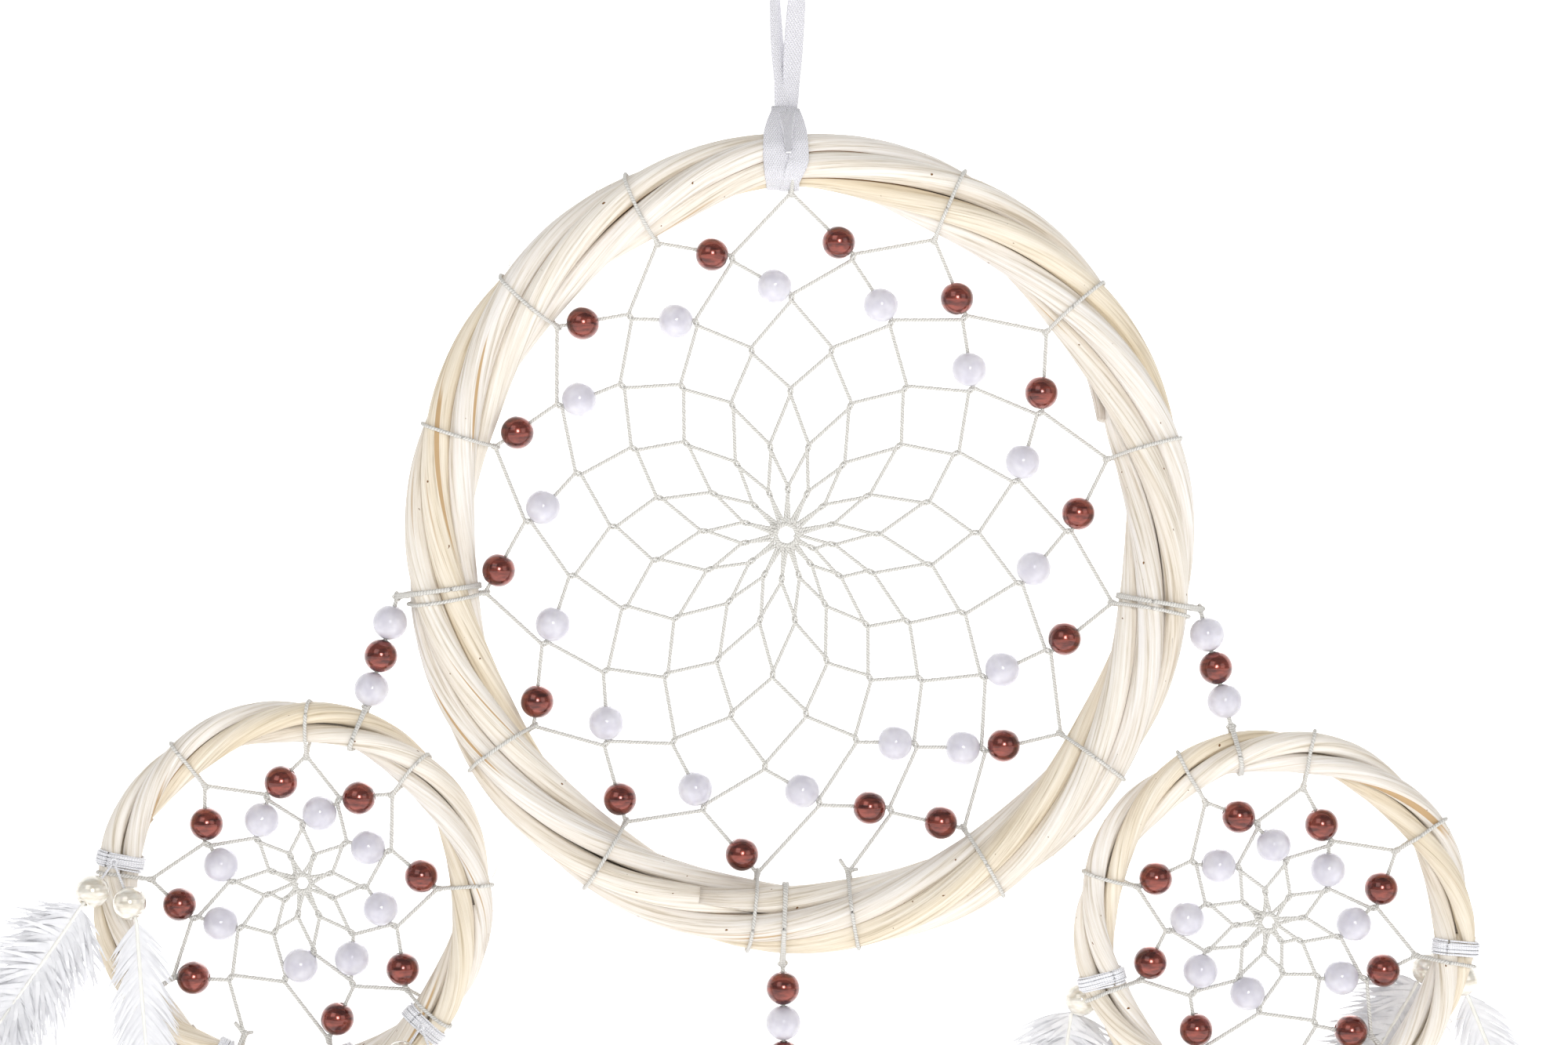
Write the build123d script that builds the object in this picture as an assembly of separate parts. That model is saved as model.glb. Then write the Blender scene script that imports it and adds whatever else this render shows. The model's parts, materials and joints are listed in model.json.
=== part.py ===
from build123d import *
import os
from math import cos, hypot, radians, sin, tan

os.makedirs("parts", exist_ok=True)

# A dream catcher, hanging. X is to the right, Z is up, and the front faces -Y.
# The origin is where the ribbon loop bears on its nail. All sizes are millimetres.

# ---------------------------------------------------------------- driving dimensions

# the ribbon that it hangs by
TAPE_WIDTH = 6.0
TAPE_THICK = 0.8
EYE_RADIUS = 4.5
LOOP_DROP = 50.0
TWIST_DROP = 24.0

# the main hoop
MAIN_CENTRE = (3.3, -156.0)
MAIN_RADIUS = 89.3
MAIN_OVAL = 1.9
MAIN_CANE_RADIUS = 3.1
MAIN_COIL = 5.6
# where each cane's two ends meet, as an angle round the hoop
MAIN_ENDS = (26.5, 140.8, 236.8, 332.8, 258.6)
MAIN_PHASE = 135.5

# the small hoops
SMALL_RADIUS = 43.55
SMALL_CANE_RADIUS = 2.45
SMALL_COIL = 3.0
SMALL_ENDS = (-10.5, 159.5, 239.5)
SMALL_PHASE = 31.5
LEFT_CENTRE = (-119.6, -242.7)
RIGHT_CENTRE = (118.7, -249.8)
BOTTOM_CENTRE = (-0.5, -336.0)

# how the canes are laid up, and how wide the gap is between a cane's two ends
TURNS = 3
END_GAP = 3.0

# the cord of the webs, lashings and strings
CORD = 0.5
FREE = 0.25
KNOT = 0.8

# beads and pearls
BEAD_RADIUS = 4.0
BORE_RADIUS = 0.9
BEAD_REST = 5.0
BEAD_STEP = 0.1
STRING_PITCH = 8.4

# the feather ties
WRAP_THICK = 0.85
WRAP_WIDTH = 3.6
TIE_KNOT = 1.1
QUILL = 0.5
VANE_THICK = 1.1
VANE_WIDTH = 22.0
PEARL_SPLIT = 0.95
# where the two pearls of a tie hang under its knot
PEARL_PLACES = ((-4.2, -6.6), (4.4, -9.6))


# ---------------------------------------------------------------- the hoops, as numbers


class Hoop:
    """A ring of twisted canes, standing in the XZ plane round its centre."""

    def __init__(self, name, centre, radius, oval, ends, phase, cane_radius, coil):
        self.name = name
        self.centre = Vector(centre[0], 0, centre[1])
        self.radius = radius
        self.oval = oval
        self.ends = ends
        self.phase = phase
        self.cane_radius = cane_radius
        self.coil = coil
        self.reach = coil + cane_radius

    def outward(self, angle):
        """The direction away from the centre at an angle, counted from +X towards +Z."""
        return Vector(cos(radians(angle)), 0, sin(radians(angle)))

    def along(self, angle):
        """The direction of the bundle at an angle."""
        return Vector(-sin(radians(angle)), 0, cos(radians(angle)))

    def middle(self, angle):
        """The middle of the bundle at an angle. The hoop is a little taller than it is wide."""
        radius = self.radius - self.oval * cos(radians(2 * angle))
        return self.centre + self.outward(angle) * radius

    def beside(self, angle, distance):
        """A point in the hoop's plane, this far outward from the bundle's middle."""
        return self.middle(angle) + self.outward(angle) * distance


MAIN = Hoop(
    "main", MAIN_CENTRE, MAIN_RADIUS, MAIN_OVAL, MAIN_ENDS, MAIN_PHASE, MAIN_CANE_RADIUS, MAIN_COIL
)
SMALL = [
    Hoop(name, centre, SMALL_RADIUS, 0.0, SMALL_ENDS, SMALL_PHASE, SMALL_CANE_RADIUS, SMALL_COIL)
    for name, centre in (("left", LEFT_CENTRE), ("right", RIGHT_CENTRE), ("bottom", BOTTOM_CENTRE))
]
LEFT, RIGHT, BOTTOM = SMALL


# ---------------------------------------------------------------- helpers


def rod(start, end, radius):
    """A round rod between two points."""
    span = end - start
    return Plane(origin=(start + end) / 2, z_dir=span) * Cylinder(radius, span.length)


def distance(point, start, end):
    """How far a point is from a straight stretch."""
    span = end - start
    share = (point - start).dot(span) / span.dot(span)
    return (point - start - span * min(max(share, 0), 1)).length


def ball(centre, radius):
    """A ball at a point."""
    return Pos(centre) * Sphere(radius)


def ring(centre, axis, major, minor):
    """A closed ring of round cord."""
    return Plane(origin=centre, z_dir=axis) * Torus(major, minor)


def one_solid(pieces):
    """All the pieces joined into one solid."""
    return pieces[0].fuse(*pieces[1:]) if len(pieces) > 1 else pieces[0]


def save(name, pieces):
    """Write a node: one piece, or a group of separate pieces."""
    shape = pieces[0] if len(pieces) == 1 else Compound(children=list(pieces))
    export_step(shape, f"parts/{name}.step")
    print(name, len(shape.solids()), "solids", round(shape.volume), "mm3")


# ---------------------------------------------------------------- canes


def tangent_path(points):
    """Straight runs through the points, with a tangent arc at each corner."""
    radii = []
    for before, here, after in zip(points, points[1:], points[2:]):
        run_in = here - before
        run_out = after - here
        half_turn = radians(run_in.get_angle(run_out)) / 2
        radii.append(0.45 * min(run_in.length, run_out.length) / tan(half_turn))
    return FilletPolyline(*points, radius=radii)


def cane(hoop, number):
    """One cane: it coils round the bundle's middle as it goes once round the hoop.

    In front it goes from the outside of the bundle to the inside as the angle grows.
    """
    start = hoop.ends[number]
    gap = END_GAP / radians(hoop.radius)
    step = 7.5 if hoop is MAIN else 10.0
    count = round(360 / step)
    points = []
    for place in range(count + 1):
        angle = start + gap / 2 + (360 - gap) * place / count
        turn = radians(TURNS * angle + 360 * number / len(hoop.ends) + hoop.phase)
        offset = hoop.outward(angle) * cos(turn) + Vector(0, -1, 0) * sin(turn)
        points.append(hoop.middle(angle) + offset * hoop.coil)
    path = tangent_path(points)
    profile = Plane(origin=path @ 0, z_dir=path % 0) * Circle(hoop.cane_radius)
    return sweep(profile, path=path)


# ---------------------------------------------------------------- webs


class Web:
    """A web knotted from one cord, as numbers.

    The cord is lashed to the hoop at the anchor angles, in the order given. Every later knot
    is a half hitch on the stretch of cord between two earlier knots, pulled towards the web's
    centre by that round's share of the way. The last round ends on a small ring.
    """

    def __init__(self, hoop, shift, anchors, stem, pulls, ring_radius):
        self.hoop = hoop
        self.anchors = anchors
        self.centre = hoop.centre + Vector(shift[0], 0, shift[1])
        self.ring_radius = ring_radius
        lashed = hoop.reach + FREE + 2 * CORD
        self.feet = [hoop.beside(angle, -lashed + CORD) for angle in anchors]
        self.knots = [hoop.beside(angle, -lashed - stem) for angle in anchors]
        size = len(anchors)
        for pull in pulls:
            for _ in range(size):
                place = len(self.knots) - size
                middle = (self.knots[place] + self.knots[place + 1]) / 2
                self.knots.append(middle + (self.centre - middle) * pull)
        self.hitches = len(self.knots)
        for _ in range(size):
            place = len(self.knots) - size
            middle = (self.knots[place] + self.knots[place + 1]) / 2
            away = (middle - self.centre).normalized()
            self.knots.append(self.centre + away * ring_radius)
        self.size = size

    def stretches(self):
        """Every straight stretch of the cord, as pairs of points."""
        pairs = []
        for place in range(self.size, len(self.knots)):
            pairs.append((self.knots[place - self.size], self.knots[place]))
            pairs.append((self.knots[place], self.knots[place - self.size + 1]))
        return pairs

    def bead_place(self, first):
        """Where a bead rests, on the stretch from the hitch over this knot to the next knot.

        It has slid down to the lower end, as far as the hoop and the other cords let it. Its bore
        is wider than the cord, so it may sit a little to one side, and where nowhere is quite
        clear of them, it sits at the roomiest place.
        """
        ends = self.knots[first + self.size], self.knots[first + 1]
        low, high = sorted(ends, key=lambda point: point.Z)
        way = (high - low).normalized()
        others = [pair for pair in self.stretches() if set(map(id, pair)) != set(map(id, ends))]
        room = self.hoop.radius - self.hoop.oval - self.hoop.reach - FREE - 2 * CORD
        room += self.swell(low) - BEAD_RADIUS - 0.1
        clear = BEAD_RADIUS + CORD + 0.05
        play = Vector(-way.Z, 0, way.X) * (BORE_RADIUS - CORD - 0.1)
        steps = int(max((high - low).length - 2 * BEAD_REST, 0) / BEAD_STEP) + 1
        tried = []
        for side in (0, 1, -1):
            for step in range(steps):
                place = low + way * (BEAD_REST + BEAD_STEP * step) + play * side
                beside = min(distance(place, start, end) for start, end in others)
                spare = min(beside - clear, room - self.out(place))
                tried.append((spare, place))
                if spare > 0:
                    return place, way
        return max(tried, key=lambda one: one[0])[1], way

    def out(self, point):
        """How far a point is from the hoop's centre."""
        return (point - self.hoop.centre).length

    def swell(self, point):
        """How much further out the bundle is here than at the hoop's sides."""
        away = point - self.hoop.centre
        return 2 * self.hoop.oval * (away.Z / away.length) ** 2


MAIN_WEB = Web(
    MAIN,
    shift=(-3.2, 1.9),
    anchors=(
        278.4, 299.9, 323.8, 349.1, 375.2, 400.5, 426, 451.4, 475.4, 498.3, 522.5, 549, 574.6, 598.1, 622.7
    ),
    stem=0.2,
    pulls=(0.128, 0.143, 0.18, 0.22, 0.36, 0.48),
    ring_radius=2.6,
)
LEFT_WEB = Web(
    LEFT,
    shift=(2.1, 4.0),
    anchors=(-110, -147, -188, -232, -275, -313.1, -355.7, -398.5, -436),
    stem=1.8,
    pulls=(0.235, 0.31, 0.47),
    ring_radius=2.0,
)
RIGHT_WEB = Web(
    RIGHT,
    shift=(-1.5, 1.5),
    anchors=(-85, -48, -10.8, 32.7, 78.5, 118.7, 163, 201, 238),
    stem=1.8,
    pulls=(0.235, 0.31, 0.47),
    ring_radius=2.0,
)
BOTTOM_WEB = Web(
    BOTTOM,
    shift=(1.5, 1.5),
    anchors=(265, 228, 190.8, 147.3, 101.5, 61.3, 17, -21, -58),
    stem=1.8,
    pulls=(0.235, 0.31, 0.47),
    ring_radius=2.0,
)
SMALL_WEBS = [LEFT_WEB, RIGHT_WEB, BOTTOM_WEB]


def lashing(hoop, angle):
    """One turn of cord round the bundle."""
    return ring(hoop.middle(angle), hoop.along(angle), hoop.reach + FREE + CORD, CORD)


def net(web):
    """The whole knotted cord, with its lashings, as one solid."""
    pieces = [ring(web.centre, (0, 1, 0), web.ring_radius, 0.75)]
    pieces += [rod(start, end, CORD) for start, end in web.stretches()]
    pieces += [ball(knot, KNOT) for knot in web.knots[: web.hitches]]
    for angle, foot, knot in zip(web.anchors, web.feet, web.knots):
        pieces.append(lashing(web.hoop, angle))
        pieces.append(rod(foot, knot, 0.7))
    return one_solid(pieces)


def bead(place, way):
    """A round bead, drilled along its cord."""
    return Plane(origin=place, z_dir=way) * (Sphere(BEAD_RADIUS) - Cylinder(BORE_RADIUS, 3 * BEAD_RADIUS))


def web_beads(web, first_round):
    """A bead on every stretch of one round of the web."""
    count = web.size if web is MAIN_WEB else web.size - 1
    start = 0 if first_round else web.size
    return [bead(*web.bead_place(start + place)) for place in range(count)]


# ---------------------------------------------------------------- bead strings


class String:
    """A short beaded cord from the main hoop down to the top of a small hoop."""

    def __init__(self, hoop, main_angle, small_angle, first_bead):
        self.hoop = hoop
        self.main_angle = main_angle
        self.small_angle = small_angle
        start = MAIN.beside(main_angle, MAIN.reach + FREE + 2 * CORD + 1.2)
        end = hoop.beside(small_angle, hoop.reach + FREE + 2 * CORD)
        self.way = (end - start).normalized()
        self.pivot = start
        self.top = start + self.way * 1.3
        self.swivel = end
        self.foot = end - self.way * 1.3
        self.beads = [self.top + self.way * (first_bead + STRING_PITCH * place) for place in range(3)]


STRINGS = [
    String(LEFT, 187.6, 69.3, 5.3),
    String(RIGHT, 350.6, 102.1, 5.1),
    String(BOTTOM, 267.7, 90.0, 4.7),
]


def string_lashing(string):
    """The turn of cord round the main hoop that a string hangs from, with its knot."""
    knot = MAIN.beside(string.main_angle, MAIN.reach + FREE + 2 * CORD)
    return one_solid([lashing(MAIN, string.main_angle), ball(knot, 0.7)])


# ---------------------------------------------------------------- feather ties


class Tie:
    """Two pearls and two feathers, hung from a thread wrapped round a small hoop.

    side is -1 where they hang in front of the hoop, 1 behind it, and 0 under it.
    leans are how far each feather leans from straight down, in degrees, to the right.
    """

    def __init__(self, hoop, angle, side, leans, lengths):
        self.hoop = hoop
        self.angle = angle
        self.side = side
        self.leans = leans
        self.lengths = lengths
        wrapped = hoop.reach + FREE + WRAP_THICK
        if side:
            self.knot = hoop.middle(angle) + Vector(0, side * (wrapped + 0.6), 0)
        else:
            self.knot = hoop.beside(angle, wrapped + 0.6)
        self.pearls = []
        for number, (across, drop) in enumerate(PEARL_PLACES):
            split = PEARL_SPLIT * (2 * number - 1)
            depth = side * (BEAD_RADIUS + 0.9 - 0.6 - WRAP_THICK + PEARL_SPLIT) + split
            self.pearls.append(self.knot + Vector(across, depth, drop))


TIES = {
    "left": [
        Tie(LEFT, 167, -1, (-34, 8), (84, 92)),
        Tie(LEFT, -115, 0, (-24, 2), (86, 92)),
        Tie(LEFT, -71, 0, (-2, 24), (92, 84)),
        Tie(LEFT, -43.5, -1, (-20, 12), (80, 88)),
    ],
    "right": [
        Tie(RIGHT, 196, 1, (-8, 6), (84, 90)),
        Tie(RIGHT, -117, 0, (-14, -2), (86, 92)),
        Tie(RIGHT, -80, 0, (2, 24), (92, 84)),
        Tie(RIGHT, -5.8, 1, (-30, 22), (82, 90)),
    ],
    "bottom": [
        Tie(BOTTOM, -146, -1, (2, 20), (84, 80)),
        Tie(BOTTOM, -90, 0, (-13, 13), (90, 94)),
        Tie(BOTTOM, -36, -1, (-20, -2), (80, 84)),
    ],
}


def wrap(tie):
    """The thread wound round the bundle, and its knot."""
    inside = tie.hoop.reach + FREE
    band = Cylinder(inside + WRAP_THICK, WRAP_WIDTH) - Cylinder(inside, 2 * WRAP_WIDTH)
    turns = Plane(origin=tie.hoop.middle(tie.angle), z_dir=tie.hoop.along(tie.angle)) * band
    return one_solid([turns, ball(tie.knot, TIE_KNOT)])


def vane(root, lean, length):
    """A feather's flat vane, hanging from its root."""
    shoulder = 0.765 * length
    wide = 0.62 * VANE_WIDTH
    with BuildPart() as made:
        with BuildSketch(Plane.XZ):
            with BuildLine():
                Bezier((-0.5, 0), (-wide, -0.1 * length), (-wide, -shoulder), (0, -length))
                Bezier((0, -length), (wide, -shoulder), (wide, -0.1 * length), (0.5, 0))
                Line((0.5, 0), (-0.5, 0))
            make_face()
        extrude(amount=VANE_THICK / 2, both=True)
    return Pos(root) * Rot(0, -lean, 0) * made.part


def feather(tie, number):
    """A feather: its quill goes up through the pearl to the tie's knot."""
    pearl = tie.pearls[number]
    way = (pearl - tie.knot).normalized()
    elbow = pearl + way * (BEAD_RADIUS + 0.9)
    lean = radians(tie.leans[number])
    down = Vector(sin(lean), 0, -cos(lean))
    length = tie.lengths[number]
    quill = rod(tie.knot + way * (TIE_KNOT + 0.5), elbow, QUILL)
    shaft = rod(elbow, elbow + down * (0.8 * length), QUILL)
    blade = vane(elbow + down * 1.5, tie.leans[number], length)
    return one_solid([quill, ball(elbow, QUILL), shaft, blade])


def pearls(tie):
    """The two pearls of a tie, drilled along their threads."""
    return [bead(place, place - tie.knot) for place in tie.pearls]


# ---------------------------------------------------------------- the ribbon


def tape(place, facing):
    """A cross-section of the tape. facing is its turn from face-on, in degrees."""
    return Pos(place) * Rot(0, 0, facing) * Rectangle(TAPE_WIDTH, TAPE_THICK)


def ribbon_loop():
    """The eye on the nail, and the two legs that turn face-on and run down to the neck."""
    eye_z = TAPE_THICK / 2 - EYE_RADIUS
    band = Cylinder(EYE_RADIUS + TAPE_THICK / 2, TAPE_WIDTH) - Cylinder(EYE_RADIUS - TAPE_THICK / 2, 9)
    upper = Pos(0, 0, 10) * Box(20, 20, 20)
    pieces = [Pos(0, 0, eye_z) * (Rot(90, 0, 0) * band & upper)]
    for side in (-1, 1):
        sections = []
        for share in (0.0, 0.25, 0.5, 0.75, 1.0):
            across = side * (EYE_RADIUS + share * (0.9 - EYE_RADIUS))
            depth = side * 0.6 * share
            down = eye_z + share * (-TWIST_DROP - eye_z)
            sections.append(tape(Vector(across, depth, down), 90 - 90 * share))
        pieces.append(loft(sections))
        flat = Box(TAPE_WIDTH, TAPE_THICK, LOOP_DROP - TWIST_DROP)
        pieces.append(Pos(side * 0.9, side * 0.6, -(TWIST_DROP + LOOP_DROP) / 2) * flat)
    pieces.append(Pos(0, 0, 1.0 - LOOP_DROP) * Cylinder(1.9, 2.4))
    return one_solid(pieces)


def ribbon_knot():
    """The lark's head: two bands round the bundle, and the bight that holds the neck."""
    top = MAIN.middle(92.1)
    inside = MAIN.reach + 0.45
    pieces = []
    for left, right in ((-5.0, 0.2), (1.95, 5.3)):
        band = Cylinder(inside + 1.3, right - left) - Cylinder(inside, 20)
        pieces.append(Pos((left + right) / 2, 0, top.Z) * Rot(0, 90, 0) * band)
    above = top.Z + inside + 1.0
    neck = -LOOP_DROP - 0.7
    pieces.append(Pos(0, 0, (neck + above) / 2) * Cylinder(1.9, neck - above))
    pieces.append(Pos(0.2, 0, above + 1.5) * Box(8.6, 5.4, 3.0))
    return one_solid(pieces)


# ---------------------------------------------------------------- build everything

save("ribbon_loop", [ribbon_loop()])
save("ribbon_knot", [ribbon_knot()])

for number in range(len(MAIN_ENDS)):
    save(f"main_cane_{number + 1}", [cane(MAIN, number)])
main_lashings = [string_lashing(string) for string in STRINGS]
save("main_web", [net(MAIN_WEB)] + main_lashings)
save("main_brown_beads", web_beads(MAIN_WEB, True))
save("main_clear_beads", web_beads(MAIN_WEB, False))

for string in STRINGS:
    name = f"{string.hoop.name}_string"
    span = rod(string.top, string.foot, CORD)
    save(f"{name}_cord", [one_solid([span, ball(string.top, 0.6), ball(string.foot, 0.9)])])
    for number, place in enumerate(string.beads):
        save(f"{name}_bead_{number + 1}", [bead(place, string.way)])

for hoop, web, string in zip(SMALL, SMALL_WEBS, STRINGS):
    ties = TIES[hoop.name]
    save(f"{hoop.name}_hoop_canes", [cane(hoop, number) for number in range(len(SMALL_ENDS))])
    save(f"{hoop.name}_hoop_web", [net(web), lashing(hoop, string.small_angle)])
    save(f"{hoop.name}_hoop_brown_beads", web_beads(web, True))
    save(f"{hoop.name}_hoop_clear_beads", web_beads(web, False))
    save(f"{hoop.name}_hoop_tie_wraps", [wrap(tie) for tie in ties])
    for number, tie in enumerate(ties):
        save(f"{hoop.name}_tie_{number + 1}_pearls", pearls(tie))
        save(f"{hoop.name}_tie_{number + 1}_feathers", [feather(tie, 0), feather(tie, 1)])

# ---------------------------------------------------------------- joint places

print("main hoop turns at", (0.0, 0.0, -LOOP_DROP - 1.4))
for string in STRINGS:
    print(string.hoop.name, "string", tuple(string.pivot), tuple(string.swivel), tuple(string.way))
    for number, place in enumerate(string.beads):
        print("  bead", number + 1, tuple(place))
for name, ties in TIES.items():
    for number, tie in enumerate(ties):
        print(name, "tie", number + 1, tuple(tie.knot), tie.side)
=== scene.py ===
# %% [markdown]
# # A dream catcher, hung by a tape loop
# A large hoop of twisted canes holds a knotted web with beads. Three small hoops hang from it on
# beaded strings, and feathers hang from those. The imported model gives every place, so each piece
# here is worked out as a numpy surface in millimetres and put down where its plain part is.

# %% Load the frame
import json
import bpy
import numpy as np
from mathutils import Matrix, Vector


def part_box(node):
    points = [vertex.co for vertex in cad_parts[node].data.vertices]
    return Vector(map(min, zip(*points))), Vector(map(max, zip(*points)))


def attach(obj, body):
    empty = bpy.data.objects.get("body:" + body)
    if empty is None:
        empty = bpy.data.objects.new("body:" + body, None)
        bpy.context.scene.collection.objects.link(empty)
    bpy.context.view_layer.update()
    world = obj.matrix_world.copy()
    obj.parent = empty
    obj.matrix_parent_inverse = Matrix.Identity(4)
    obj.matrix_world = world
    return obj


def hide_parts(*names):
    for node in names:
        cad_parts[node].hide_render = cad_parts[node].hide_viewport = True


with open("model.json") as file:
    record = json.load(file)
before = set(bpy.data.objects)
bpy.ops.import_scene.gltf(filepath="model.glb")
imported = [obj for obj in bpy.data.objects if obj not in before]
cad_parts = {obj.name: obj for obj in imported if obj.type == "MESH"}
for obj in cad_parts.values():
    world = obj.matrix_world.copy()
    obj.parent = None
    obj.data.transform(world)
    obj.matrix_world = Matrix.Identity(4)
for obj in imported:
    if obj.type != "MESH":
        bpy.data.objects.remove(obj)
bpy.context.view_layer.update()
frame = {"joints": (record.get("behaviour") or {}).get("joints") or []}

joints = {joint["name"]: joint for joint in frame["joints"]}
MM = 0.001
DEPTH = np.array([0.0, 1.0, 0.0])

# %% [markdown]
# ## The camera
# The front is seen straight on, by a long lens, as a catalogue shows such a piece. The view takes
# in the large hoop and the tops of the small ones. Its middle is a few millimetres above the
# large hoop's, which is worked out from the canes' boxes and printed beside it.

# %% Camera
LENS = 85.0
SENSOR = 36.0
VIEW_WIDTH = 381.0 * MM
VIEW_ACROSS = -0.5 * MM
VIEW_UP = -151.1 * MM


def middle_of(*nodes):
    """Half way between the lowest and highest corners of these nodes, in metres."""
    lows, highs = zip(*(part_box(node) for node in nodes))
    return (np.min(lows, axis=0) + np.max(highs, axis=0)) / 2


hoop_middle = middle_of(*(f"main_cane_{number}" for number in range(1, 6)))
camera_data = bpy.data.cameras.new("camera")
camera_data.lens = LENS
camera_data.sensor_width = SENSOR
camera = bpy.data.objects.new("camera", camera_data)
bpy.context.scene.collection.objects.link(camera)
camera.location = (VIEW_ACROSS, -VIEW_WIDTH * LENS / SENSOR, VIEW_UP)
camera.rotation_euler = (np.pi / 2, 0, 0)
bpy.context.scene.camera = camera
print("camera", tuple(camera.location), "hoop middle", hoop_middle)

# %% [markdown]
# ## Joining points into meshes
# Every piece below is a grid: rings of points along a line, or a profile turned round an axis.
# One function makes triangles of such a grid, one carries an outline along a path, one turns a
# profile, and one puts the result into Blender. A map called mm keeps, at each face corner, how
# far it is round the piece and along it in millimetres, so that grain and weave have a real scale.

# %% Grids of points
def grid(points, around, along, caps):
    """Triangles between rings of points, each ring closed. around and along are the mm map.

    points is rings × sides × 3. With caps, both end rings are closed by a fan to their middle.
    Without, the last ring joins the first.
    """
    rings, sides = points.shape[:2]
    last = rings - 1 if caps else rings
    i, j = np.meshgrid(np.arange(last), np.arange(sides), indexing="ij")
    corners = np.stack([i, i, i + 1, i + 1], -1), np.stack([j, j + 1, j + 1, j], -1)
    vertex = (corners[0] % rings) * sides + corners[1] % sides
    mm = np.stack([around[corners[1]], along[corners[0]]], -1)
    split = [0, 1, 2, 0, 2, 3]
    faces = vertex[..., split].reshape(-1, 3)
    mm = mm[..., split, :].reshape(-1, 2)
    vertices = points.reshape(-1, 3)
    if caps:
        ends = points[[0, -1]].mean(axis=1)
        count = len(vertices)
        vertices = np.vstack([vertices, ends])
        side = np.arange(sides)
        after = (side + 1) % sides
        top = (rings - 1) * sides
        start = np.stack([np.full(sides, count), after, side], -1)
        end = np.stack([np.full(sides, count + 1), top + side, top + after], -1)
        faces = np.vstack([faces, start, end])
        edge = np.stack([around[side], np.full(sides, along[0])], -1)
        mm = np.vstack([mm, np.repeat(edge, 6, axis=0)])
    return vertices, faces, mm


def unit(vectors):
    """Each vector divided by its length."""
    return vectors / np.linalg.norm(vectors, axis=-1, keepdims=True)


def lengths_along(path):
    """How far each point of a path is from its start, along the path."""
    steps = np.linalg.norm(np.diff(path, axis=0), axis=1)
    return np.concatenate([[0], np.cumsum(steps)])


def carry(path, outline, side, closed=False):
    """An outline carried along a path.

    The outline is sides × 2, or rings × sides × 2 where it changes on the way. Its first number
    goes along side, made square to the path, and its second along path × side.
    """
    if closed:
        tangent = unit(np.roll(path, -1, axis=0) - np.roll(path, 1, axis=0))
        along = lengths_along(np.vstack([path, path[:1]]))
    else:
        tangent = unit(np.gradient(path, axis=0))
        along = lengths_along(path)
    side = np.broadcast_to(side, path.shape)
    side = unit(side - tangent * np.sum(side * tangent, axis=1, keepdims=True))
    top = np.cross(tangent, side)
    outline = np.broadcast_to(outline, (len(path),) + outline.shape[-2:])
    points = path[:, None] + outline[..., :1] * side[:, None] + outline[..., 1:] * top[:, None]
    rim = np.vstack([outline[0], outline[0][:1]])
    return grid(points, lengths_along(rim), along, not closed)


def join(patches):
    """Several meshes as one."""
    starts = np.cumsum([0] + [len(patch[0]) for patch in patches[:-1]])
    vertices = np.vstack([patch[0] for patch in patches])
    faces = np.vstack([patch[1] + start for patch, start in zip(patches, starts)])
    return vertices, faces, np.vstack([patch[2] for patch in patches])


def circle(radius, sides):
    """A round outline."""
    turn = np.linspace(0, 2 * np.pi, sides, endpoint=False)
    return radius * np.stack([np.cos(turn), np.sin(turn)], -1)


# %% Put a mesh into Blender
def piece(name, patch, material, body, replaces=(), shade=None, smooth=True):
    """A mesh of a patch in millimetres, made in metres, that rides on a body and has a finish.

    shade is a number for each vertex that the finish can read: how deep it lies in a crevice, which the
    finish paints as shade, or how near a cut end.
    Where smooth is false every triangle is shaded flat, which keeps thin strips bright.
    """
    vertices, faces, mm = patch
    mesh = bpy.data.meshes.new(name)
    mesh.vertices.add(len(vertices))
    mesh.vertices.foreach_set("co", (vertices * MM).ravel())
    mesh.loops.add(faces.size)
    mesh.loops.foreach_set("vertex_index", faces.ravel().astype(np.int32))
    mesh.polygons.add(len(faces))
    mesh.polygons.foreach_set("loop_start", np.arange(0, faces.size, 3, dtype=np.int32))
    mesh.polygons.foreach_set("use_smooth", np.full(len(faces), smooth))
    mesh.update(calc_edges=True)
    mesh.uv_layers.new(name="mm").data.foreach_set("uv", mm.ravel())
    if shade is not None:
        # the crevice number: painted shade between canes, and the cut ends
        mesh.attributes.new("crevice", "FLOAT", "POINT").data.foreach_set("value", shade.ravel())
    mesh.materials.append(material)
    made = bpy.data.objects.new(name, mesh)
    bpy.context.scene.collection.objects.link(made)
    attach(made, body)
    if replaces:
        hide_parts(*replaces)
    print(name, len(faces), "triangles")
    return made


# %% [markdown]
# ## Finishes
# A finish is a small tree of nodes. A colour is written as on a colour chart, in sRGB, and one
# function turns it linear. One function adds any node, with its settings, values and links.

# %% Colours and nodes
def linear(chart):
    """A colour chart's hex value as linear red, green, blue and alpha."""
    srgb = np.array([int(chart[place:place + 2], 16) for place in (1, 3, 5)]) / 255
    light = np.where(srgb <= 0.04045, srgb / 12.92, ((srgb + 0.055) / 1.055) ** 2.4)
    return (*light, 1.0)


def add(tree, kind, links=None, values=None, **settings):
    """A node with its settings, the values of its sockets, and the outputs linked to them."""
    node = tree.nodes.new(kind)
    for key, value in settings.items():
        setattr(node, key, value)
    for key, value in (values or {}).items():
        node.inputs[key].default_value = value
    for key, source in (links or {}).items():
        tree.links.new(source, node.inputs[key])
    return node


def new_finish(name, **values):
    """A material of one Principled shader. Names of sockets are given with _ for a space."""
    material = bpy.data.materials.new(name)
    material.use_nodes = True
    tree = material.node_tree
    shader = tree.nodes["Principled BSDF"]
    for key, value in values.items():
        shader.inputs[key.replace("_", " ")].default_value = value
    return material, tree, shader


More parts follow.
